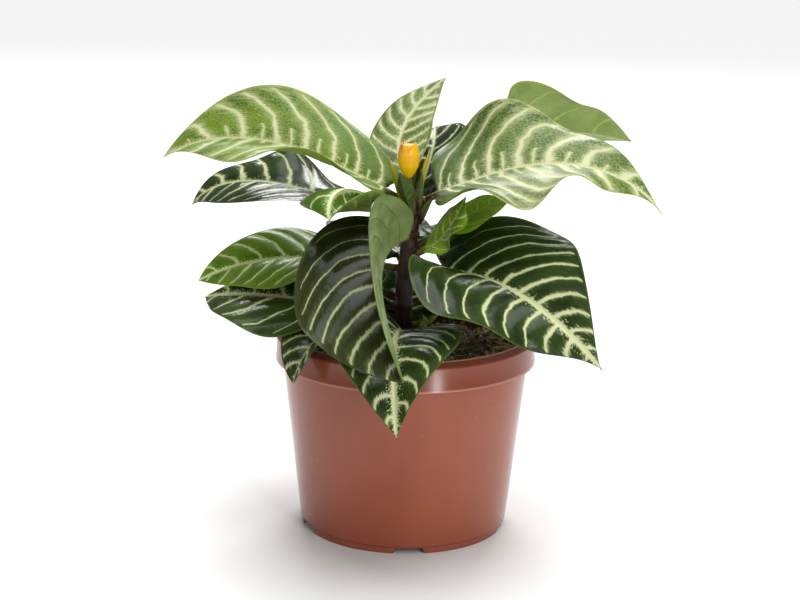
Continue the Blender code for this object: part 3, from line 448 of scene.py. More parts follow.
class Graph:
    """A material's node tree, built with short calls."""

    def __init__(self, name):
        self.material = bpy.data.materials.new(name)
        self.material.use_nodes = True
        self.nodes = self.material.node_tree.nodes
        self.links = self.material.node_tree.links
        self.shader = self.nodes["Principled BSDF"]

    def feed(self, socket, value):
        """Link a number or another socket, or set a plain value."""
        if isinstance(value, Number):
            value = value.socket
        if isinstance(value, bpy.types.NodeSocket):
            self.links.new(value, socket)
        elif isinstance(value, tuple) and len(value) == 3 and socket.type == "RGBA":
            socket.default_value = (*value, 1.0)
        else:
            socket.default_value = value

    def math(self, operation, first, second=0.0, clamp=False):
        """One step of arithmetic."""
        node = self.nodes.new("ShaderNodeMath")
        node.operation = operation
        node.use_clamp = clamp
        self.feed(node.inputs[0], first)
        self.feed(node.inputs[1], second)
        return Number(self, node.outputs[0])

    def attribute(self, name):
        """What a mesh carries at its points under a name, as a vector."""
        node = self.nodes.new("ShaderNodeAttribute")
        node.attribute_name = name
        return node.outputs["Vector"]

    def split(self, vector):
        """A vector's three numbers."""
        node = self.nodes.new("ShaderNodeSeparateXYZ")
        self.feed(node.inputs[0], vector)
        return [Number(self, socket) for socket in node.outputs]

    def numbers(self, name):
        """The three numbers that a mesh carries at its points under a name."""
        return self.split(self.attribute(name))

    def join(self, first, second, third):
        """A vector from three numbers."""
        node = self.nodes.new("ShaderNodeCombineXYZ")
        for socket, value in zip(node.inputs, (first, second, third)):
            self.feed(socket, value)
        return node.outputs[0]

    def scaled(self, vector, factors):
        """A vector with each of its numbers multiplied."""
        node = self.nodes.new("ShaderNodeVectorMath")
        node.operation = "MULTIPLY"
        self.feed(node.inputs[0], vector)
        node.inputs[1].default_value = factors
        return node.outputs[0]

    def place(self):
        """The point's place on its object, in metres."""
        return self.nodes.new("ShaderNodeTexCoord").outputs["Object"]

    def noise(self, vector, scale, detail=2.0, rough=0.5):
        """Soft noise round one half."""
        node = self.nodes.new("ShaderNodeTexNoise")
        for name, value in (("Vector", vector), ("Scale", scale), ("Detail", detail), ("Roughness", rough)):
            self.feed(node.inputs[name], value)
        return Number(self, node.outputs[0])

    def cells(self, vector, scale):
        """Distance to the walls of irregular cells."""
        node = self.nodes.new("ShaderNodeTexVoronoi")
        node.feature = "DISTANCE_TO_EDGE"
        self.feed(node.inputs["Vector"], vector)
        self.feed(node.inputs["Scale"], scale)
        return Number(self, node.outputs["Distance"])

    def mix(self, share, first, second):
        """A colour between two."""
        node = self.nodes.new("ShaderNodeMix")
        node.data_type = "RGBA"
        self.feed(node.inputs["Factor"], share)
        self.feed(node.inputs[6], first)
        self.feed(node.inputs[7], second)
        return node.outputs[2]

    def bump(self, height, distance, strength):
        """A shading normal from a height in the range 0 to 1, as deep as distance in metres."""
        node = self.nodes.new("ShaderNodeBump")
        for name, value in (("Strength", strength), ("Distance", distance), ("Height", height)):
            self.feed(node.inputs[name], value)
        return node.outputs[0]

    def finish(self, colour, roughness, normal=None, **plain):
        """Feed the shader, and return the material. Plain settings go on the shader's own sockets."""
        self.feed(self.shader.inputs["Base Color"], colour)
        self.feed(self.shader.inputs["Roughness"], roughness)
        if normal is not None:
            self.feed(self.shader.inputs["Normal"], normal)
        for name, value in plain.items():
            self.shader.inputs[name.replace("_", " ").title().replace("Ior", "IOR")].default_value = value
        return self.material


def linear(red, green, blue):
    """A colour given as 0 to 255 in sRGB, as linear light."""
    values = []
    for level in (red, green, blue):
        share = level / 255.0
        values.append(share / 12.92 if share <= 0.04045 else ((share + 0.055) / 1.055) ** 2.4)
    return tuple(values)


# Leaf tones: colours, how soft the veins' edges are, how far feathers and the glow beside the
# veins reach in millimetres, and how strongly fine net, pale haze and mottling show
TONES = {
    "leaf_dark": {
        "deep": linear(26, 41, 12), "mid": linear(56, 79, 28), "glow": linear(78, 108, 38),
        "vein": linear(206, 210, 162), "soft": 0.24, "spike": 1.9, "reach": 0.9, "net": 0.0,
        "mottle": 0.3, "halo": 0.06, "pale": (0.6, 1.0), "rough": 0.17,
        "under": linear(140, 156, 96), "under_vein": linear(84, 114, 44)},
    "leaf_green": {
        "deep": linear(32, 66, 6), "mid": linear(64, 106, 12), "glow": linear(106, 144, 40),
        "vein": linear(208, 218, 160), "soft": 0.24, "spike": 1.0, "reach": 0.8, "net": 0.02,
        "mottle": 0.4, "halo": 0.12, "pale": (0.6, 1.0), "rough": 0.26,
        "under": linear(132, 154, 78), "under_vein": linear(170, 182, 92)},
    "leaf_pale": {
        "deep": linear(44, 74, 10), "mid": linear(104, 130, 38), "glow": linear(164, 176, 104),
        "vein": linear(212, 214, 172), "soft": 0.55, "spike": 2.8, "reach": 2.0, "net": 0.2,
        "mottle": 1.3, "halo": 0.65, "pale": (0.25, 1.0), "rough": 0.30,
        "under": linear(104, 126, 54), "under_vein": linear(134, 152, 70)},
    "bract_green": {
        "deep": linear(50, 66, 24), "mid": linear(84, 100, 36), "glow": linear(84, 106, 42),
        "vein": linear(112, 130, 64), "soft": 0.5, "spike": 0.3, "reach": 0.8, "net": 0.1,
        "mottle": 0.4, "halo": 0.2, "pale": (1.0, 1.0), "rough": 0.4,
        "under": linear(58, 80, 30), "under_vein": linear(90, 108, 48)},
    "bract_yellow_green": {
        "deep": linear(176, 170, 20), "mid": linear(238, 208, 24), "glow": linear(236, 210, 40),
        "vein": linear(196, 190, 60), "soft": 0.5, "spike": 0.3, "reach": 0.8, "net": 0.1,
        "mottle": 0.5, "halo": 0.2, "pale": (1.0, 1.0), "rough": 0.4,
        "under": linear(150, 150, 30), "under_vein": linear(186, 178, 50)},
}
STALK_COLOUR = linear(58, 30, 20)
YOUNG_STALK_COLOUR = linear(96, 88, 34)
FRESH_GREEN = linear(186, 222, 44)
FRESH_DEEP = linear(108, 156, 14)
FRESH_VEIN = linear(208, 222, 96)
BRONZE = linear(50, 46, 22)


def vein_masks(graph, tone, grow=1.0, least=0.0):
    """Where the pale veins and the finer net are, and what else the leaf's numbers tell."""
    flat = graph.attribute("flat")
    side, lengthwise, _ = graph.split(flat)
    phase, spacing, half = graph.numbers("vein")
    away, rib_half, short_half = graph.numbers("rib")
    bent = phase + (graph.noise(flat, 0.09) - 0.5) * 0.45
    soft = lengthwise.smooth(12.0, 50.0) * (tone["soft"] - 0.2) + 0.2
    feather = graph.noise(graph.join(away, bent * 1.3, side), 2.4, 3.0, 0.6)
    inner = 1.0 - away.smooth(3.0, 22.0) * 0.65
    reach = feather.smooth(0.40, 0.76).power(1.5) * inner * tone["spike"]

    def beyond(shift, wide, spiky):
        """How far a point lies past the nearest vein's edge, and how far from its middle."""
        distance = graph.math("ABSOLUTE", graph.math("FRACT", bent + shift) - 0.5) * spacing
        hidden = (1.0 - wide.smooth(0.0, 0.12)) * 9.0
        return distance - (wide * grow + least + reach * spiky) + hidden, distance

    lateral, distance = beyond(0.5, half, 1.0)
    short, _ = beyond(0.0, short_half, 0.5)
    across = graph.noise(graph.join(away * 0.15, lengthwise - away * 0.6, side), 1.1, 3.0, 0.65)
    rib_reach = across.smooth(0.42, 0.78).power(1.4) * rib_half * (2.1 * tone["spike"])
    nearest = graph.math("MINIMUM", away - (rib_half * grow + rib_reach), lateral)
    nearest = graph.math("MINIMUM", nearest, short)
    return {
        "main": 1.0 - nearest.smooth(soft * -1.0, soft),
        "glow": 1.0 - nearest.smooth(0.0, tone["reach"]),
        "net": 1.0 - graph.cells(flat, 0.55).smooth(0.02, 0.12),
        "distance": distance, "feather": feather, "flat": flat}


def stalk_colour(graph, fresh):
    """Petioles: dark purple-brown, or olive on the leaves that are fresh."""
    return graph.mix(fresh.smooth(0.0, 0.6), STALK_COLOUR, YOUNG_STALK_COLOUR)


def leaf_top_material(name, tone):
    """A leaf's upper face: cream veins with feathered edges on a mottled, glossy green blade."""
    graph = Graph(name)
    veins = vein_masks(graph, tone)
    stalk, margin, along = graph.numbers("part")
    fresh, bronze, haziness = graph.numbers("mood")
    patch = graph.noise(veins["flat"], 0.07, 2.0).smooth(0.3, 0.7)
    speck = graph.noise(veins["flat"], 1.3, 3.0, 0.6).smooth(0.38, 0.62)
    fibres = veins["feather"].smooth(0.36, 0.66)
    low, high = tone["pale"]
    paler = along.smooth(0.08, 0.45) * (high - low) + low
    light = graph.math("ADD", patch * 0.45, speck * fibres * tone["mottle"], clamp=True)
    light = light * (paler * 0.7 + 0.3)
    blade = graph.mix(light, tone["deep"], tone["mid"])
    blade = graph.mix(margin * 0.7, blade, tone["glow"])
    blade = graph.mix(fresh, blade, graph.mix(light, FRESH_DEEP, FRESH_GREEN))
    blade = graph.mix((patch * 0.6 + 0.4) * bronze, blade, BRONZE)

    paler = paler * haziness
    near = 1.0 - veins["distance"].smooth(0.3, 5.0)
    haze = near * fibres * tone["halo"] + veins["net"] * tone["net"]
    blade = graph.mix(graph.math("MULTIPLY", haze, paler, clamp=True), blade, tone["vein"])
    blade = graph.mix(veins["glow"] * (paler * 0.5 + 0.25), blade, tone["glow"])
    cream = graph.mix(fresh * 0.6, tone["vein"], FRESH_VEIN)
    cream = graph.mix(bronze * 0.3, cream, BRONZE)
    colour = graph.mix(veins["main"] * 0.96, blade, cream)
    colour = graph.mix(stalk, colour, stalk_colour(graph, fresh))

    height = graph.noise(veins["flat"], 0.7, 2.0) - veins["main"] * 0.6
    rough = veins["main"] * 0.2 + tone["rough"] + speck * 0.05
    return graph.finish(colour, rough, graph.bump(height, 0.0003, 0.35), specular_ior_level=0.16)


def leaf_under_material(name, tone):
    """A leaf's lower face: plain paler green with thin raised veins."""
    graph = Graph(name)
    veins = vein_masks(graph, {**tone, "spike": 0.0, "soft": 0.35}, 0.35, 0.35)
    stalk, margin, _ = graph.numbers("part")
    fresh, _, _ = graph.numbers("mood")
    patch = graph.noise(veins["flat"], 0.10, 3.0).smooth(0.3, 0.7)
    fibres = veins["feather"].smooth(0.4, 0.7)
    colour = graph.mix(patch * 0.45, tone["under"], tone["mid"])
    colour = graph.mix(fibres * 0.2, colour, tone["under_vein"])
    colour = graph.mix(fresh * 0.7, colour, FRESH_GREEN)
    for share in (veins["main"] * 0.85, veins["net"] * 0.12, margin * 0.6):
        colour = graph.mix(share, colour, tone["under_vein"])
    colour = graph.mix(stalk, colour, stalk_colour(graph, fresh))
    height = veins["main"] + veins["net"] * 0.3
    return graph.finish(colour, 0.42, graph.bump(height, 0.0003, 0.6), specular_ior_level=0.3)


def unit(vector):
    """The vector at length one."""
    return vector / np.linalg.norm(vector)


def even_turns(steps):
    """The angles of even steps once round, in radians."""
    return [2 * math.pi * step / steps for step in range(steps)]


def direction(azimuth, elevation):
    """The unit vector at an azimuth from +X and an elevation above level, in radians."""
    level = np.cos(elevation)
    return np.stack([level * np.cos(azimuth), level * np.sin(azimuth), np.sin(elevation)], axis=-1)


def between(pair, along):
    """A value that goes evenly from the pair's first at the base to its second at the tip."""
    return pair[0] + (pair[1] - pair[0]) * along


def rise_smoothly(value, low, high):
    """From 0 at low to 1 at high, with soft ends."""
    share = np.clip((value - low) / (high - low), 0.0, 1.0)
    return share * share * (3.0 - 2.0 * share)


def half_width(leaf, along):
    """Half the blade's width along the midrib, from a pointed base to a pointed tip."""
    warp = math.log(0.5) / math.log(leaf.widest)
    swell = np.sin(math.pi * np.clip(along, 1e-6, 1.0 - 1e-6) ** warp)
    power = np.where(along < leaf.widest, leaf.base_power, leaf.tip_power)
    return 0.5 * leaf.width * np.clip(swell, 0.0, 1.0) ** power


def midrib(leaf, along):
    """The midrib's points, and the directions along it, to its left and out of its upper face."""
    fine = np.linspace(0.0, 1.0, CURVE_STEPS + 1)
    azimuths = np.radians(leaf.azimuth + leaf.sweep * fine)
    elevations = np.radians(leaf.rise - leaf.droop * fine ** leaf.bend)
    forward = direction(azimuths, elevations)
    steps = 0.5 * (forward[1:] + forward[:-1]) * leaf.length / CURVE_STEPS
    path = np.vstack([np.zeros(3), np.cumsum(steps, axis=0)])
    blade_start = np.array(leaf.start) + forward[0] * leaf.petiole
    places = np.stack([np.interp(along, fine, path[:, axis]) for axis in range(3)], axis=-1) + blade_start
    azimuths = np.radians(leaf.azimuth + leaf.sweep * along)
    forward = direction(azimuths, np.radians(leaf.rise - leaf.droop * along ** leaf.bend))
    level = np.stack([-np.sin(azimuths), np.cos(azimuths), 0.0 * azimuths], axis=-1)
    upright = np.cross(forward, level)
    roll = np.radians(between(leaf.roll, along))[:, None]
    left = np.cos(roll) * level + np.sin(roll) * upright
    return places, forward, left, np.cos(roll) * upright - np.sin(roll) * level


def half_section(leaf, along, side):
    """How far out and up each half reaches, at even steps from midrib to margin, per half width."""
    fold, curl, wave = leaf.fold_left, leaf.curl_left, leaf.wave_left
    if side < 0:
        fold, curl, wave = leaf.fold_right, leaf.curl_right, leaf.wave_right
    out = np.linspace(0.0, 1.0, SIDE_STEPS + 1)[None, :]
    swing = wave[0] * np.sin(2 * math.pi * leaf.waves * along + math.radians(wave[1]))
    angle = np.radians(between(fold, along)[:, None] + between(curl, along)[:, None] * out
                       + 1.5 * swing[:, None] * out ** 1.5)
    rows = []
    for part in (np.cos(angle), np.sin(angle)):
        area = np.cumsum(0.5 * (part[:, 1:] + part[:, :-1]) / SIDE_STEPS, axis=1)
        rows.append(np.hstack([np.zeros((len(along), 1)), area]))
    return rows


def lobe_slip(leaf, along, half):
    """How far a lobe of the full size slides the margin back past the blade's base."""
    beyond_stalk = (half - 1.5 * leaf.petiole_radius) / (LOBE_SHOULDER * leaf.width)
    fading = np.clip(1.0 - along / LOBE_REACH, 0.0, 1.0) ** 1.5
    return leaf.width * np.clip(beyond_stalk, 0.0, 1.0) ** 0.8 * fading


def blade_surface(leaf, along, columns):
    """Points halfway through the blade for each station along it and each column across it."""
    places, forward, left, upward = midrib(leaf, along)
    least = between((leaf.petiole_radius, TIP_HALF_WIDTH), along)
    half = np.maximum(half_width(leaf, along), least)
    back = lobe_slip(leaf, along, half)
    steps = np.linspace(0.0, 1.0, SIDE_STEPS + 1)
    points = np.zeros((len(along), len(columns), 3))
    for side, chosen in ((-1, columns <= 0.0), (1, columns > 0.0)):
        out, up = half_section(leaf, along, side)
        lobe = leaf.lobe[0] if side > 0 else leaf.lobe[1]
        for number in np.flatnonzero(chosen):
            column = abs(columns[number])
            reach = np.array([np.interp(column, steps, row) for row in out]) * side * half
            lift = np.array([np.interp(column, steps, row) for row in up]) * half
            slip = -lobe * back * column ** 1.3
            points[:, number] = (places + reach[:, None] * left + lift[:, None] * upward
                                 + slip[:, None] * forward)
    return points, half


def surface_normals(points):
    """Unit normals of a grid of points, out of the blade's upper face."""
    normals = np.cross(np.gradient(points, axis=0), np.gradient(points, axis=1))
    return normals / np.maximum(np.linalg.norm(normals, axis=-1, keepdims=True), 1e-9)


def vein_numbers(leaf, veins, along, columns, half, points):
    """The veins at each point: where it lies between them, how far apart and how wide they are.

    Last come the half width of the midrib's pale band and how far the point is from the midrib.
    """
    out = np.abs(columns)[None, :]
    across = out * half[:, None]
    lean = np.where(columns > 0.0, veins.lean[0], veins.lean[1])[None, :]
    forward = lean * across + veins.bend * half[:, None] * out ** VEIN_ARCH
    first = np.where(columns > 0.0, veins.first[0], veins.first[1])[None, :]
    reached = along[:, None] - forward / leaf.length
    phase = veins.count * reached * (1.0 + veins.crowd * (1.0 - reached)) + first
    run = np.linalg.norm(np.gradient(points, axis=0), axis=-1)
    turn = np.abs(np.gradient(phase, axis=0)) / np.maximum(run, 1e-6)
    slope = lean + veins.bend * VEIN_ARCH * out ** (VEIN_ARCH - 1.0)
    spacing = 1.0 / np.maximum(turn, 1e-4) / np.sqrt(1.0 + slope ** 2)
    on_blade = rise_smoothly(half, 2.2, 6.0)[:, None] * rise_smoothly(phase, 0.2, 0.7)
    fade = 1.0 - rise_smoothly(out, 0.86, 0.99)
    taper = 0.15 + 0.85 * (1.0 - out) ** 1.2
    tipward = between(veins.growth, rise_smoothly(along, 0.05, 0.55))[:, None]
    lateral = veins.width * (taper * tipward * fade * on_blade) + 0.12 * fade * on_blade
    short = veins.short * veins.width * (1.0 - rise_smoothly(out, 0.05, 0.40)) * on_blade
    ribbed = between(veins.rib, rise_smoothly(along, 0.05, 0.6))
    ribbed = ribbed * (1.0 - 0.45 * rise_smoothly(along, 0.85, 1.0))
    rib = np.minimum(ribbed * rise_smoothly(along, -0.06, 0.05), 0.45 * half)[:, None] + 0.0 * out
    return phase, spacing, lateral, short, rib, across


def leaf_numbers(leaf, veins, along, columns, half, middle):
    """The numbers that the leaf materials read at each point, three under each name."""
    phase, spacing, lateral, short, rib, away = vein_numbers(leaf, veins, along, columns, half, middle)
    margin = rise_smoothly(np.abs(columns), 0.975, 1.0)[None, :]
    blade = rise_smoothly(along * leaf.length, -0.8 * leaf.petiole, 0.05 * leaf.length)[:, None]
    numbers = {
        "flat": (np.sign(columns)[None, :] * away, along[:, None] * leaf.length, leaf.azimuth),
        "vein": (phase, spacing, lateral),
        "rib": (away, rib, short),
        "part": (1.0 - blade, margin, np.clip(along, 0.0, 1.0)[:, None]),
        "mood": (veins.fresh, veins.bronze, veins.haze),
    }
    return {name: np.stack([value + 0.0 * away for value in values], axis=-1)
            for name, values in numbers.items()}


def leaf_middle(leaf):
    """The grid halfway through a leaf's petiole and blade.

    It comes with each row's share along the blade, below 0 on the petiole, each column's place from
    -1 to 1, each row's half width and the normals.
    """
    rows, column_count, stalk_rows = SMALL_GRID if leaf.small else LEAF_GRID
    even = np.linspace(-1.0, 1.0, column_count)
    columns = np.sign(even) * np.abs(even) ** COLUMN_CROWDING
    along = np.linspace(0.0, 1.0, rows) ** ROW_CROWDING
    middle, half = blade_surface(leaf, along, columns)
    normals = surface_normals(middle)
    _, forward, left, upward = midrib(leaf, along[:1])
    start = np.array(leaf.start) - STUB_OVERLAP * forward[0]
    stalk = leaf.petiole + STUB_OVERLAP
    across = leaf.petiole_radius * columns[:, None] * left[0]
    shares = np.arange(stalk_rows) / stalk_rows
    stalk_points = np.array([start + forward[0] * stalk * share + across for share in shares])
    middle[0] = start + forward[0] * stalk + across
    normals[0] = upward[0]
    middle = np.concatenate([stalk_points, middle])
    normals = np.concatenate([np.broadcast_to(upward[0], stalk_points.shape), normals])
    along = np.concatenate([-(1.0 - shares) * stalk / leaf.length, along])
    half = np.concatenate([np.full(stalk_rows, leaf.petiole_radius), half])
    return along, columns, half, middle, normals


def leaf_faces(leaf, along, columns, half, phase, away):
    """How far the upper face lies above the grid halfway through a leaf, and the lower face below."""
    roundness = np.clip(1.0 - np.maximum(along, 0.0) / STALK_SHARE, 0.0, 1.0)[:, None]
    stalk_height = leaf.petiole_radius * np.sqrt(1.0 - STALK_EDGE * columns ** 2)[None, :]
    flat = 0.5 * BLADE_THICKNESS * (1.0 - 0.5 * columns ** 4)[None, :]
    size = leaf.petiole_radius / PETIOLE_RADIUS
    thinning = 1.0 - 0.8 * np.clip(along, 0.0, 1.0)[:, None]
    channel = CHANNEL_DEPTH * size * np.exp(-(away / CHANNEL_REACH) ** 2)
    channel = channel * rise_smoothly(along, -0.02, 0.1)[:, None]
    ridge = RIDGE_DEPTH * size * thinning * np.exp(-(away / RIDGE_REACH) ** 2)
    inland = rise_smoothly(away, 0.6, 5.0) * (1.0 - rise_smoothly(np.abs(columns), 0.86, 1.0)[None, :])
    crown = np.abs(np.sin(math.pi * phase)) ** 0.8 - QUILT_SINK
    narrow = rise_smoothly(half, 3.0, 14.0)[:, None]
    quilt = QUILT_HEIGHT * size * crown * inland * narrow * rise_smoothly(phase, 0.0, 0.6)
    above = roundness * stalk_height + (1.0 - roundness) * flat - (1.0 - roundness) * channel * thinning
    below = roundness * stalk_height + (1.0 - roundness) * (flat + ridge)
    return above + quilt, below - quilt


def leaf_grid(leaf, veins):
    """Upper and lower points of a fine leaf, and the numbers that its materials read."""
    along, columns, half, middle, normals = leaf_middle(leaf)
    numbers = leaf_numbers(leaf, veins, along, columns, half, middle)
    phase, away = numbers["vein"][..., 0], numbers["rib"][..., 0]
    above, below = leaf_faces(leaf, along, columns, half, phase, away)
    return middle + above[..., None] * normals, middle - below[..., None] * normals, numbers


def grid_faces(rows, columns):
    """Quads of the upper face, the lower face and the strip round the edge, in that order."""
    number = np.arange(rows * columns).reshape(rows, columns)
    here, ahead = number[:-1, :-1].ravel(), number[1:, :-1].ravel()
    beside, beyond = number[:-1, 1:].ravel(), number[1:, 1:].ravel()
    under = rows * columns
    upper = np.stack([here, ahead, beyond, beside], axis=1)
    lower = np.stack([here, beside, beyond, ahead], axis=1) + under
    strips = []
    edges = ((number[:, 0], False), (number[:, -1], True), (number[0], True), (number[-1], False))
    for line, turned in edges:
        first, second = line[:-1], line[1:]
        strip = np.stack([first, first + under, second + under, second], axis=1)
        strips.append(strip[:, ::-1] if turned else strip)
    return upper, lower, np.concatenate(strips)


def add_piece(name, points, faces, materials, nodes=(), indices=None, sharp=50.0):
    """A smooth-shaded piece from points in millimetres, riding on the body, for the nodes given."""
    mesh = bpy.data.meshes.new(name)
    mesh.from_pydata((np.asarray(points) * MM).tolist(), [], [tuple(map(int, face)) for face in faces])
    mesh.shade_smooth()
    mesh.set_sharp_from_angle(angle=math.radians(sharp))
    for material in materials:
        mesh.materials.append(material)
    if indices is not None:
        mesh.polygons.foreach_set("material_index", np.asarray(indices, dtype=np.int32))
    thing = bpy.data.objects.new(name, mesh)
    bpy.context.scene.collection.objects.link(thing)
    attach(thing, "root")
    if nodes:
        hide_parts(*nodes)
    return thing


def add_numbers(thing, name, values):
    """Store three numbers for each point of a mesh under a name."""
    attribute = thing.data.attributes.new(name, "FLOAT_VECTOR", "POINT")
    attribute.data.foreach_set("vector", np.asarray(values, dtype=np.float32).ravel())


def leaf_piece(node, slot, leaf, materials):
    """The fine leaf or bract that stands for a node."""
    veins = VEINS.get(node, SMALL_VEINS if leaf.small else Veins())
    upper, lower, numbers = leaf_grid(leaf, veins)
    points = np.concatenate([upper.reshape(-1, 3), lower.reshape(-1, 3)])
    top, bottom, strip = grid_faces(*upper.shape[:2])
    faces = np.concatenate([top, bottom, strip])
    indices = np.concatenate([np.zeros(len(top)), np.ones(len(bottom)), np.zeros(len(strip))])
    thing = add_piece(node + "_fine", points, faces, materials[slot], (node,), indices)
    for name, values in numbers.items():
        add_numbers(thing, name, np.concatenate([values, values]))


def ring_about(centre, normal, radius, sides):
    """A ring of points about a centre, counter-clockwise when the normal points at the viewer."""
    across = unit(np.cross((0.0, 1.0, 0.0), normal))
    upward = np.cross(normal, across)
    turns = np.arange(sides) * 2 * math.pi / sides
    return [centre + radius * (math.cos(turn) * across + math.sin(turn) * upward) for turn in turns]


def loft_faces(ring_count, ring_size, start=0, closed=False):
    """Quads between rings that follow each other, with both ends capped unless it is closed."""
    faces = []
    for ring in range(ring_count if closed else ring_count - 1):
        low = start + ring * ring_size
        high = start + (ring + 1) % ring_count * ring_size
        for side in range(ring_size):
            after = (side + 1) % ring_size
            faces.append((low + side, low + after, high + after, high + side))
    if not closed:
        faces.append(tuple(reversed(range(start, start + ring_size))))
        faces.append(tuple(range(start + (ring_count - 1) * ring_size, start + ring_count * ring_size)))
    return faces


def stem_centre(height):
    """The middle of the stem at a height."""
    return np.array([np.interp(height, STEM_PATH_HEIGHTS, STEM_PATH_X), 0.0, height])


def stem_radius(height):
    """The stem's radius: even up to the top leaves, then slender, with a swelling at each joint."""
    even = float(np.interp(height, STEM_RADIUS_HEIGHTS, STEM_RADII)) * STEM_SKIN_SHARE
    return even + sum(JOINT_SWELL * math.exp(-((height - joint) / JOINT_SPREAD) ** 2)
                      for joint in STEM_JOINTS)


def stub_points(leaf):
    """Rings of a leaf's petiole base, from inside the stem over a knee to its end."""
    outward = direction(math.radians(leaf.azimuth), math.radians(leaf.rise))
    end = np.array(leaf.start) + STUB_REACH * outward
    knee = end - STUB_STRAIGHT * outward
    inside = stem_centre(knee[2] - 1.0)
    rising = unit(knee - inside)
    radius = STUB_RADIUS * leaf.petiole_radius / PETIOLE_RADIUS
    rings = ((inside, rising, 0.9), (0.5 * (inside + knee), rising, 1.05),
             (knee, unit(rising + outward), 1.1), (0.5 * (knee + end), outward, 1.0),
             (end, outward, 0.9))
    return [ring_about(centre, normal, radius * share, STUB_SIDES) for centre, normal, share in rings]


def fuse(thing):
    """Turn a piece of overlapping parts into one smooth skin."""
    remesh = thing.modifiers.new("fuse", "REMESH")
    remesh.mode = "VOXEL"
    remesh.voxel_size = STEM_VOXEL * MM
    remesh.use_smooth_shade = True
    ease = thing.modifiers.new("ease", "SMOOTH")
    ease.factor = 0.5
    ease.iterations = 4
    apply_modifiers(thing)
    thing.data.shade_smooth()


def stem_piece(leaves, material):
    """The stem with a petiole base for every leaf, fused into one skin."""
    points = []
    for height in np.linspace(STEM_FOOT_HEIGHT, STEM_TOP_HEIGHT, STEM_RINGS):
        ring = ring_about(stem_centre(height), UP, stem_radius(height), STEM_SIDES)
        for number, point in enumerate(ring):
            turn = FLUTE_COUNT * 2 * math.pi * number / STEM_SIDES + height * FLUTE_TWIST
            point += FLUTE_DEPTH * math.sin(turn) * unit(point - stem_centre(height))
        points += ring
    faces = loft_faces(STEM_RINGS, STEM_SIDES)
    for leaf in leaves:
        rings = stub_points(leaf)
        faces += loft_faces(len(rings), STUB_SIDES, len(points))
        for ring in rings:
            points += ring
    thing = add_piece("stem_fine", points, faces, [material], ("stem",))
    fuse(thing)


def apply_modifiers(thing):
    """Make the modifiers' result the piece's own mesh."""
    evaluated = thing.evaluated_get(bpy.context.evaluated_depsgraph_get())
    mesh = bpy.data.meshes.new_from_object(evaluated)
    thing.modifiers.clear()
    thing.data = mesh


def body_radius(height):
    """Outer radius of the pot's tapering body."""
    return FOOT_RADIUS + FOOT_STEP + (NECK_RADIUS - FOOT_RADIUS - FOOT_STEP) * height / NECK_HEIGHT


def inner_radius(height):
    """Inner radius of the pot at a height, from its floor up to the lip."""
    if height <= NECK_HEIGHT:
        return body_radius(height) - WALL
    return body_radius(NECK_HEIGHT) - WALL + INNER_FLARE * (height - NECK_HEIGHT)


def pot_profile():
    """The pot's wall as a closed outline of (radius, height), from the middle drain hole."""
    floor_top = FOOT_RING_HEIGHT + WALL
    shoulder = POT_HEIGHT - LIP_DROP
    outside = [
        (DRAIN_RADIUS, FOOT_RING_HEIGHT),
        (FOOT_RADIUS - FOOT_RING_WIDTH, FOOT_RING_HEIGHT),
        (FOOT_RADIUS - FOOT_RING_WIDTH, 0.0),
        (FOOT_RADIUS, 0.0),
        (FOOT_RADIUS, FOOT_RING_HEIGHT),
        (body_radius(FOOT_RING_HEIGHT + FOOT_STEP_HEIGHT), FOOT_RING_HEIGHT + FOOT_STEP_HEIGHT),
        (NECK_RADIUS, NECK_HEIGHT),
    ]
    collar = [
        (NECK_RADIUS, shoulder - SKIRT_WALL),
        (RIM_RADIUS - SKIRT_WALL, shoulder - SKIRT_WALL),
        (RIM_RADIUS - SKIRT_WALL, SKIRT_HEIGHT),
        (RIM_RADIUS + SKIRT_BEAD, SKIRT_HEIGHT),
        (RIM_RADIUS + SKIRT_BEAD, SKIRT_HEIGHT + SKIRT_BEAD_HEIGHT),
        (RIM_RADIUS, SKIRT_HEIGHT + 2.0 * SKIRT_BEAD_HEIGHT),
        (RIM_RADIUS, shoulder),
        (LIP_RADIUS + LIP_OUTER_EDGE, POT_HEIGHT - 0.25 * LIP_ROUNDING),
        (LIP_RADIUS, POT_HEIGHT),
    ]
    inside = [
        (LIP_RADIUS - LIP_INNER_EDGE, POT_HEIGHT - LIP_ROUNDING),
        (inner_radius(shoulder), shoulder),
        (inner_radius(NECK_HEIGHT), NECK_HEIGHT),
        (inner_radius(floor_top), floor_top),
        (DRAIN_RADIUS, floor_top),
    ]
    return outside + collar + inside


def cutter(points, faces):
    """A plain solid that the pot is cut with."""
    mesh = bpy.data.meshes.new("cutter")
    mesh.from_pydata((np.asarray(points) * MM).tolist(), [], faces)
    return bpy.data.objects.new("cutter", mesh)


def notch_cutter(azimuth):
    """A wedge across the foot ring, wider at the bottom, for one drainage notch."""
    turn = math.radians(azimuth)
    low, high = 0.5 * NOTCH_WIDTH_BOTTOM, 0.5 * NOTCH_WIDTH_TOP
    corners = ((-low, -CUTTER_MARGIN), (low, -CUTTER_MARGIN), (high, NOTCH_HEIGHT), (-high, NOTCH_HEIGHT))
    points = []
    for radius in (FOOT_RADIUS - FOOT_RING_WIDTH - 2 * CUTTER_MARGIN, FOOT_RADIUS + 3 * CUTTER_MARGIN):
        for side, height in corners:
            points.append((radius * math.cos(turn) - side * math.sin(turn),
                           radius * math.sin(turn) + side * math.cos(turn), height))
    return cutter(points, loft_faces(2, 4))


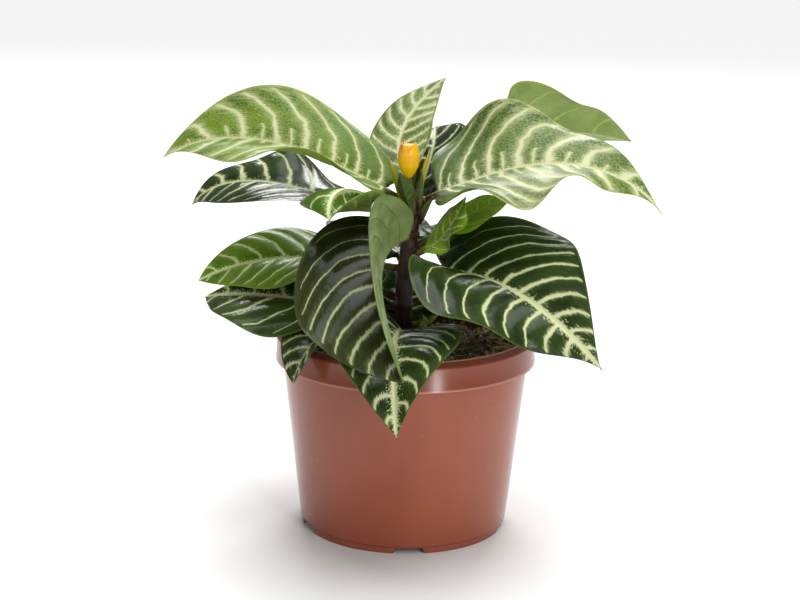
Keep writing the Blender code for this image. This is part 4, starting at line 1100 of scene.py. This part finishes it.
def drain_cutter(azimuth):
    """A round cutter for one drain hole in the pot's floor."""
    turn = math.radians(azimuth)
    middle = np.array([DRAIN_CIRCLE_RADIUS * math.cos(turn), DRAIN_CIRCLE_RADIUS * math.sin(turn), 0.0])
    points = []
    for height in (FOOT_RING_HEIGHT - CUTTER_MARGIN, FOOT_RING_HEIGHT + WALL + CUTTER_MARGIN):
        points += ring_about(middle + (0.0, 0.0, height), UP, DRAIN_RADIUS, DRAIN_SIDES)
    return cutter(points, loft_faces(2, DRAIN_SIDES))


def pot_cutters():
    """Cutters for the notches in the foot ring, and for the drain holes between them."""
    spacing = 360.0 / NOTCH_COUNT
    azimuths = [NOTCH_FIRST_AZIMUTH + spacing * number for number in range(NOTCH_COUNT)]
    notches = [notch_cutter(azimuth) for azimuth in azimuths]
    return notches + [drain_cutter(azimuth + spacing / 2) for azimuth in azimuths]


def cut_and_round(thing, cutters):
    """Cut a piece, round its edges, and remove the cutters."""
    collection = bpy.data.collections.new("pot_cutters")
    bpy.context.scene.collection.children.link(collection)
    for piece in cutters:
        collection.objects.link(piece)
    cut = thing.modifiers.new("cut", "BOOLEAN")
    cut.operation = "DIFFERENCE"
    cut.operand_type = "COLLECTION"
    cut.collection = collection
    round_off = thing.modifiers.new("round_off", "BEVEL")
    round_off.width = EDGE_ROUNDING * MM
    round_off.segments = 2
    round_off.angle_limit = math.radians(ROUNDED_ANGLE)
    apply_modifiers(thing)
    for piece in cutters:
        bpy.data.objects.remove(piece, do_unlink=True)
    bpy.data.collections.remove(collection)


def pot_piece(material):
    """The turned pot with rounded edges, notched through its foot ring and drilled in its floor."""
    profile = pot_profile()
    points = []
    for turn in even_turns(POT_SEGMENTS):
        points += [(radius * math.cos(turn), radius * math.sin(turn), height) for radius, height in profile]
    faces = loft_faces(POT_SEGMENTS, len(profile), closed=True)
    thing = add_piece("pot_fine", points, faces, [material], ("pot",))
    cut_and_round(thing, pot_cutters())
    thing.data.shade_smooth()
    thing.data.set_sharp_from_angle(angle=math.radians(SHARP_ANGLE))


# Rings of another colour round the pot: where each begins and ends in metres, how strong it is,
# and its colour. All of them are painted light: painted shade along the bottom edge, over the foot
# ring and under the collar, painted shade over the whole collar with a painted highlight on its
# bead, painted shade on the slope of the lip, and a painted highlight on its crest. Each fades
# within the edge's width
BAND_EDGE = 0.0004
POT_PAINTED_LIGHT = (
    # painted contact shadow along the pot's bottom edge
    (-0.001, 0.0006, 0.5, linear(62, 32, 24)),
    # painted shade under the step over the foot ring
    (0.0026, 0.0037, 0.45, linear(70, 34, 24)),
    # painted shadow line under the collar
    (0.0847, 0.0862, 0.5, linear(70, 34, 24)),
    # painted shade over the whole collar
    (0.0861, 0.1020, 0.35, linear(104, 50, 34)),
    # painted highlight on the collar's bead
    (0.0861, 0.0874, 0.45, linear(214, 156, 134)),
    # painted shade on the slope of the lip
    (0.0982, 0.1008, 0.5, linear(74, 32, 24)),
    # painted highlight on the lip's crest
    (0.1005, 0.1020, 0.6, linear(220, 176, 158)),
)


def pot_material():
    """Moulded terracotta-coloured plastic: satin, with faint flow marks, scuffs and dust, and rings of
    painted shade and painted highlight at fixed heights.
    """
    graph = Graph("terracotta_plastic_fine")
    place = graph.place()
    _, _, height = graph.split(place)
    cloud = graph.noise(graph.scaled(place, (14.0, 14.0, 9.0)), 1.0, 3.0)
    flow = graph.noise(graph.scaled(place, (60.0, 60.0, 6.0)), 1.0, 3.0)
    scuff = graph.noise(graph.scaled(place, (90.0, 90.0, 240.0)), 1.0, 4.0, 0.7).smooth(0.66, 0.74)
    colour = graph.mix(cloud.smooth(0.3, 0.7), linear(138, 66, 42), linear(150, 76, 50))
    colour = graph.mix(flow.smooth(0.5, 0.8) * 0.25, colour, linear(126, 60, 40))
    # Rings of painted shade and painted highlight at fixed heights round the pot
    for low, high, share, shade in POT_PAINTED_LIGHT:
        painted_ring = height.smooth(low, low + BAND_EDGE) * height.smooth(high, high - BAND_EDGE)
        colour = graph.mix(painted_ring * share, colour, shade)
    colour = graph.mix(scuff * 0.05, colour, linear(196, 150, 128))
    rough = cloud * 0.08 + 0.16 + scuff * 0.15
    normal = graph.bump(graph.noise(place, 1400.0, 2.0), 0.00003, 0.5)
    return graph.finish(colour, rough, normal)


def soil_height(x, y):
    """The soil's height at a place on its top, with clods and crumbs."""
    radius = math.hypot(x, y)
    share = min(1.0, max(0.0, (radius - SOIL_HOLE) / (inner_radius(SOIL_EDGE_HEIGHT) - SOIL_HOLE)))
    height = SOIL_MIDDLE_HEIGHT + (SOIL_EDGE_HEIGHT - SOIL_MIDDLE_HEIGHT) * share
    clods = noise.fractal(Vector((x * 0.06, y * 0.06, 3.0)), 0.9, 2.0, 3)
    crumbs = noise.fractal(Vector((x * 0.35, y * 0.35, 7.0)), 0.8, 2.0, 4)
    return height + CLOD_HEIGHT * clods + CRUMB_HEIGHT * crumbs


def soil_piece(material):
    """The soil's crumbly top, with a skirt down the pot's wall and one down the stem's hole."""
    hole = SOIL_HOLE - SOIL_HOLE_EDGE
    points = []
    for radius in np.linspace(hole, inner_radius(SOIL_EDGE_HEIGHT) - SOIL_WALL_GAP, SOIL_ROWS):
        shift = SOIL_HOLE_SHIFT * max(0.0, 1.0 - radius / SOIL_SHIFT_REACH)
        for turn in even_turns(SOIL_SEGMENTS):
            x, y = radius * math.cos(turn) - shift, radius * math.sin(turn)
            points.append((x, y, soil_height(x, y)))
    for radius in (inner_radius(SOIL_SKIRT_HEIGHT) - SOIL_SKIRT_GAP, hole):
        points += [(radius * math.cos(turn), radius * math.sin(turn), SOIL_SKIRT_HEIGHT)
                   for turn in even_turns(SOIL_SEGMENTS)]
    faces = [face[::-1] for face in loft_faces(SOIL_ROWS + 2, SOIL_SEGMENTS, closed=True)]
    thing = add_piece("soil_fine", points, faces, [material], ("soil",))
    add_numbers(thing, "shade", np.full((len(points), 3), 0.03))


def crumb(random, centre, size):
    """A small angular crumb: an octahedron with uneven corners."""
    corners = np.array([(1, 0, 0), (-1, 0, 0), (0, 1, 0), (0, -1, 0), (0, 0, 1), (0, 0, -1)], dtype=float)
    corners *= random.uniform(0.5, 1.0, (6, 1)) * size * random.uniform(0.5, 1.3, (1, 3))
    turned = np.array(Matrix.Rotation(random.uniform(0, 6.28), 3, Vector(random.normal(size=3)).normalized()))
    faces = [(0, 2, 4), (2, 1, 4), (1, 3, 4), (3, 0, 4), (2, 0, 5), (1, 2, 5), (3, 1, 5), (0, 3, 5)]
    return centre + corners @ turned.T, faces


def fibre(random, centre, length, radius):
    """A thin bent root or bark fibre that lies on the soil."""
    heading = random.uniform(0, 2 * math.pi)
    bend = random.uniform(-FIBRE_BEND, FIBRE_BEND)
    points = []
    place = np.array(centre, dtype=float)
    for number in range(FIBRE_SEGMENTS + 1):
        along = np.array([math.cos(heading), math.sin(heading), random.uniform(-0.25, 0.25)])
        thin = radius * (1.0 - 0.6 * number / FIBRE_SEGMENTS)
        points += ring_about(place, unit(along), thin, 4)
        place = place + unit(along) * length / FIBRE_SEGMENTS
        place[:2] *= min(1.0, LITTER_RADIUS / math.hypot(place[0], place[1]))
        place[2] = soil_height(place[0], place[1]) + radius * 0.8 + random.uniform(0.0, 0.5)
        heading += bend / FIBRE_SEGMENTS
    return np.array(points), loft_faces(FIBRE_SEGMENTS + 1, 4)


def scatter_place(random):
    """A place on the soil's top, clear of the stem and of the pot's wall."""
    while True:
        x, y = random.uniform(-SCATTER_REACH, SCATTER_REACH, 2)
        if STEM_CLEARANCE < math.hypot(x + SOIL_HOLE_SHIFT, y) and math.hypot(x, y) < LITTER_RADIUS:
            return x, y


def litter_piece(material):
    """Crumbs, bark chips, fibres and a few twigs that lie loose on the soil."""
    random = np.random.default_rng(SOIL_SEED)
    points, faces, shades = [], [], []

    def add(new_points, new_faces, shade):
        """Take up one bit, and how light its brown is."""
        start = len(points)
        points.extend(new_points)
        faces.extend(tuple(start + corner for corner in face) for face in new_faces)
        shades.extend([(shade, 0.0, 0.0)] * len(new_points))

    for _ in range(CRUMB_COUNT):
        x, y = scatter_place(random)
        size = CRUMB_LEAST + CRUMB_SPREAD * random.random() ** 3
        centre = np.array([x, y, soil_height(x, y) + 0.35 * size])
        shade = 0.75 * random.random() ** 2.5 if random.random() < 0.96 else random.uniform(0.85, 1.0)
        add(*crumb(random, centre, size), shade)
    for _ in range(FIBRE_COUNT):
        x, y = scatter_place(random)
        length = random.uniform(*FIBRE_LENGTHS)
        shade = random.uniform(0.3, 0.8) if random.random() < 0.9 else random.uniform(0.86, 1.0)
        place = (x, y, soil_height(x, y) + 0.4)
        add(*fibre(random, place, length, random.uniform(*FIBRE_RADII)), shade)
    for x, y, length, radius in TWIGS:
        add(*fibre(random, (x, y, soil_height(x, y) + 0.8), length, radius), 0.78)
    thing = add_piece("soil_litter", points, faces, [material], sharp=30.0)
    add_numbers(thing, "shade", shades)


def soil_material():
    """Damp dark peat, and the browns and oranges of the bits in it."""
    graph = Graph("potting_soil_fine")
    place = graph.place()
    shade, _, _ = graph.numbers("shade")
    grit = graph.noise(place, 900.0, 4.0, 0.7)
    mottle = graph.noise(place, 260.0, 3.0)
    brown = (shade + mottle * 0.4).smooth(0.1, 0.9)
    colour = graph.mix(brown, linear(56, 42, 44), linear(244, 204, 182))
    colour = graph.mix(shade.smooth(0.80, 0.86), colour, linear(232, 178, 76))
    colour = graph.mix(grit.smooth(0.5, 0.75) * 0.45, colour, linear(12, 9, 8))
    return graph.finish(colour, 0.85, graph.bump(grit, 0.0006, 0.8))


def stem_material():
    """Smooth dark brown bark that turns green and pink towards the bud."""
    graph = Graph("stem_fine")
    place = graph.place()
    _, _, height = graph.split(place)
    streak = graph.noise(graph.scaled(place, (900.0, 900.0, 60.0)), 1.0, 4.0, 0.6)
    spots = graph.noise(place, 700.0, 2.0).smooth(0.62, 0.7)
    bark = graph.mix(streak.smooth(0.35, 0.75), linear(34, 18, 11), linear(72, 40, 26))
    bark = graph.mix(spots * 0.35, bark, linear(118, 84, 70))
    young = graph.mix(streak.smooth(0.35, 0.7), linear(96, 54, 42), linear(122, 112, 48))
    colour = graph.mix(height.smooth(0.158, 0.171), bark, young)
    return graph.finish(colour, 0.48, graph.bump(streak, 0.00025, 0.6), specular_ior_level=0.3)


def bud_radius(share):
    """Radius of the bud at a share of its height."""
    return float(np.interp(share, np.linspace(0.0, 1.0, len(BUD_RADII)), BUD_RADII))


def bud_scale(azimuth, low, high, spread, lift):
    """Points of one broad bract of the bud, a thin pointed shell, and what its material reads."""
    outer, inner, numbers = [], [], []
    for row in range(BUD_ROWS):
        along = row / (BUD_ROWS - 1)
        share = low + (high - low) * along
        centre = np.array([0.0, 0.0, BUD_FOOT_HEIGHT + BUD_HEIGHT * share])
        half = math.radians(spread) * max(0.04, (1.0 - along ** 3.2)) ** 0.6
        for column in range(BUD_COLUMNS):
            side = 2.0 * column / (BUD_COLUMNS - 1) - 1.0
            turn = math.radians(azimuth) + half * side
            away = np.array([math.cos(turn), math.sin(turn), 0.0])
            crease = 0.18 * math.exp(-(side / 0.16) ** 2)
            flare = lift * (0.25 + 0.9 * along ** 2) * (1.0 - 0.35 * side * side)
            radius = bud_radius(min(1.0, share)) + flare + crease
            outer.append(centre + away * radius)
            inner.append(centre + away * (radius - BUD_SHELL * (1.0 - 0.6 * abs(side) ** 3)))
            numbers.append((abs(side), along, 0.0))
    return outer + inner, numbers + numbers


def bud_piece(material):
    """The flower bud: a closed heart with bracts laid over one another."""
    points, numbers = [], []
    for ring in range(HEART_RINGS):
        share = ring / (HEART_RINGS - 1)
        centre = np.array([0.0, 0.0, BUD_FOOT_HEIGHT + BUD_HEIGHT * HEART_HEIGHT_SHARE * share])
        points += ring_about(centre, UP, bud_radius(share) * HEART_RADIUS_SHARE, HEART_SIDES)
        numbers += [(0.0, share, 0.0)] * HEART_SIDES
    faces = loft_faces(HEART_RINGS, HEART_SIDES)
    for whorl in BUD_WHORLS:
        quads = np.concatenate(grid_faces(BUD_ROWS, BUD_COLUMNS)) + len(points)
        faces += [tuple(int(corner) for corner in quad[::-1]) for quad in quads]
        new_points, new_numbers = bud_scale(*whorl)
        points += new_points
        numbers += new_numbers
    thing = add_piece("flower_bud_fine", points, faces, [material], ("flower_bud",), sharp=60.0)
    add_numbers(thing, "scale", numbers)


def bud_material():
    """Waxy yellow bracts with orange shoulders and a reddish streak."""
    graph = Graph("yellow_bract_fine")
    side, along, _ = graph.numbers("scale")
    place = graph.place()
    x, _, height = graph.split(place)
    streak = graph.noise(graph.scaled(place, (800.0, 800.0, 120.0)), 1.0, 3.0)
    warm = (along + streak * 0.5).smooth(0.65, 1.25)
    colour = graph.mix(warm * 0.30, linear(252, 198, 6), linear(242, 140, 14))
    blush = (1.0 - x.smooth(-0.0036, -0.0012)) * height.smooth(0.187, 0.194) * streak.smooth(0.4, 0.6)
    colour = graph.mix(blush * 0.75, colour, linear(196, 66, 62))
    low = 1.0 - height.smooth(0.1775, 0.182)
    colour = graph.mix(low * 0.6, colour, linear(190, 170, 30))
    colour = graph.mix(side.smooth(0.8, 1.0) * 0.25, colour, linear(224, 120, 14))
    normal = graph.bump(streak, 0.0002, 0.5)
    return graph.finish(colour, 0.38, normal, coat_weight=0.1, coat_roughness=0.3)


def camera():
    """The camera, turned as the photograph's was."""
    pitch, yaw, roll = (math.radians(angle) for angle in (CAMERA_PITCH, CAMERA_YAW, CAMERA_ROLL))
    forward = Vector((math.sin(yaw) * math.cos(pitch), math.cos(yaw) * math.cos(pitch), -math.sin(pitch)))
    level = Vector((math.cos(yaw), -math.sin(yaw), 0.0))
    upright = level.cross(forward)
    right = math.cos(roll) * level + math.sin(roll) * upright
    up = math.cos(roll) * upright - math.sin(roll) * level
    lens = bpy.data.cameras.new("camera")
    lens.lens = CAMERA_LENS
    lens.sensor_width = SENSOR_WIDTH
    thing = bpy.data.objects.new("camera", lens)
    bpy.context.scene.collection.objects.link(thing)
    turned = Matrix((right, up, -forward)).transposed().to_4x4()
    turned.translation = Vector(CAMERA_PLACE) * MM
    thing.matrix_world = turned
    bpy.context.scene.camera = thing


def add_light(kind, name):
    """A light of a kind, and the object that holds it."""
    light = bpy.data.lights.new(name, kind)
    thing = bpy.data.objects.new(name, light)
    bpy.context.scene.collection.objects.link(thing)
    return light, thing


def soft_box(name, place, size, power):
    """A soft box of light that faces the plant."""
    light, thing = add_light("AREA", name)
    light.shape = "RECTANGLE"
    light.size, light.size_y = size
    light.energy = power
    thing.location = place
    thing.rotation_euler = (Vector(LIGHT_TARGET) - Vector(place)).to_track_quat("-Z", "Y").to_euler()


def sky_light():
    """Even light from a broad round patch of sky, which gives the same light everywhere."""
    light, thing = add_light("SUN", "overhead")
    light.energy = SKY_STRENGTH
    light.angle = math.radians(SKY_BREADTH)
    thing.rotation_euler = (-Vector(SKY_SOURCE)).to_track_quat("-Z", "Y").to_euler()


def studio():
    """A pale floor, a soft surround, a patch of bright sky and soft boxes round the plant."""
    floor = bpy.data.meshes.new("floor")
    corners = [(-FLOOR_REACH, -FLOOR_REACH, 0), (FLOOR_REACH, -FLOOR_REACH, 0),
               (FLOOR_REACH, FLOOR_REACH, 0), (-FLOOR_REACH, FLOOR_REACH, 0)]
    floor.from_pydata(corners, [], [(0, 1, 2, 3)])
    thing = bpy.data.objects.new("floor", floor)
    bpy.context.scene.collection.objects.link(thing)
    graph = Graph("floor_paper")
    speck = graph.noise(graph.place(), 90.0, 2.0)
    colour = graph.mix(speck * 0.5, (0.84, 0.84, 0.84), (0.88, 0.88, 0.88))
    floor.materials.append(graph.finish(colour, 0.8))
    world = bpy.data.worlds.new("surround")
    world.use_nodes = True
    background = world.node_tree.nodes["Background"]
    background.inputs["Color"].default_value = (1.0, 1.0, 1.0, 1.0)
    background.inputs["Strength"].default_value = SURROUND
    bpy.context.scene.world = world
    sky_light()
    for name, (place, size, power) in SOFT_BOXES.items():
        soft_box(name, place, size, power)
    bpy.context.scene.view_settings.view_transform = "Standard"


def build():
    """Dress the frame: every node of the plant gets its fine piece."""
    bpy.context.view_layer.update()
    camera()
    studio()
    materials = {slot: [leaf_top_material(slot + "_upper", tone), leaf_under_material(slot + "_under", tone)]
                 for slot, tone in TONES.items()}
    pieces = list(LEAVES.items()) + list(BRACTS.items())
    for node, (slot, leaf) in pieces:
        leaf_piece(node, slot, leaf, materials)
    stem_piece([leaf for _, (_, leaf) in pieces], stem_material())
    bud_piece(bud_material())
    soil = soil_material()
    soil_piece(soil)
    litter_piece(soil)
    pot_piece(pot_material())


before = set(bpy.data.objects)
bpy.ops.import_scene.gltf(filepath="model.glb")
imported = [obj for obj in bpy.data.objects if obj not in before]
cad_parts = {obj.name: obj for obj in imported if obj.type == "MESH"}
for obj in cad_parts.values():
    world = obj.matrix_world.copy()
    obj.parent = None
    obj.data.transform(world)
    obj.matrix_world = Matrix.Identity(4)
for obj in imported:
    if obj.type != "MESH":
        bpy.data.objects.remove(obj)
build()
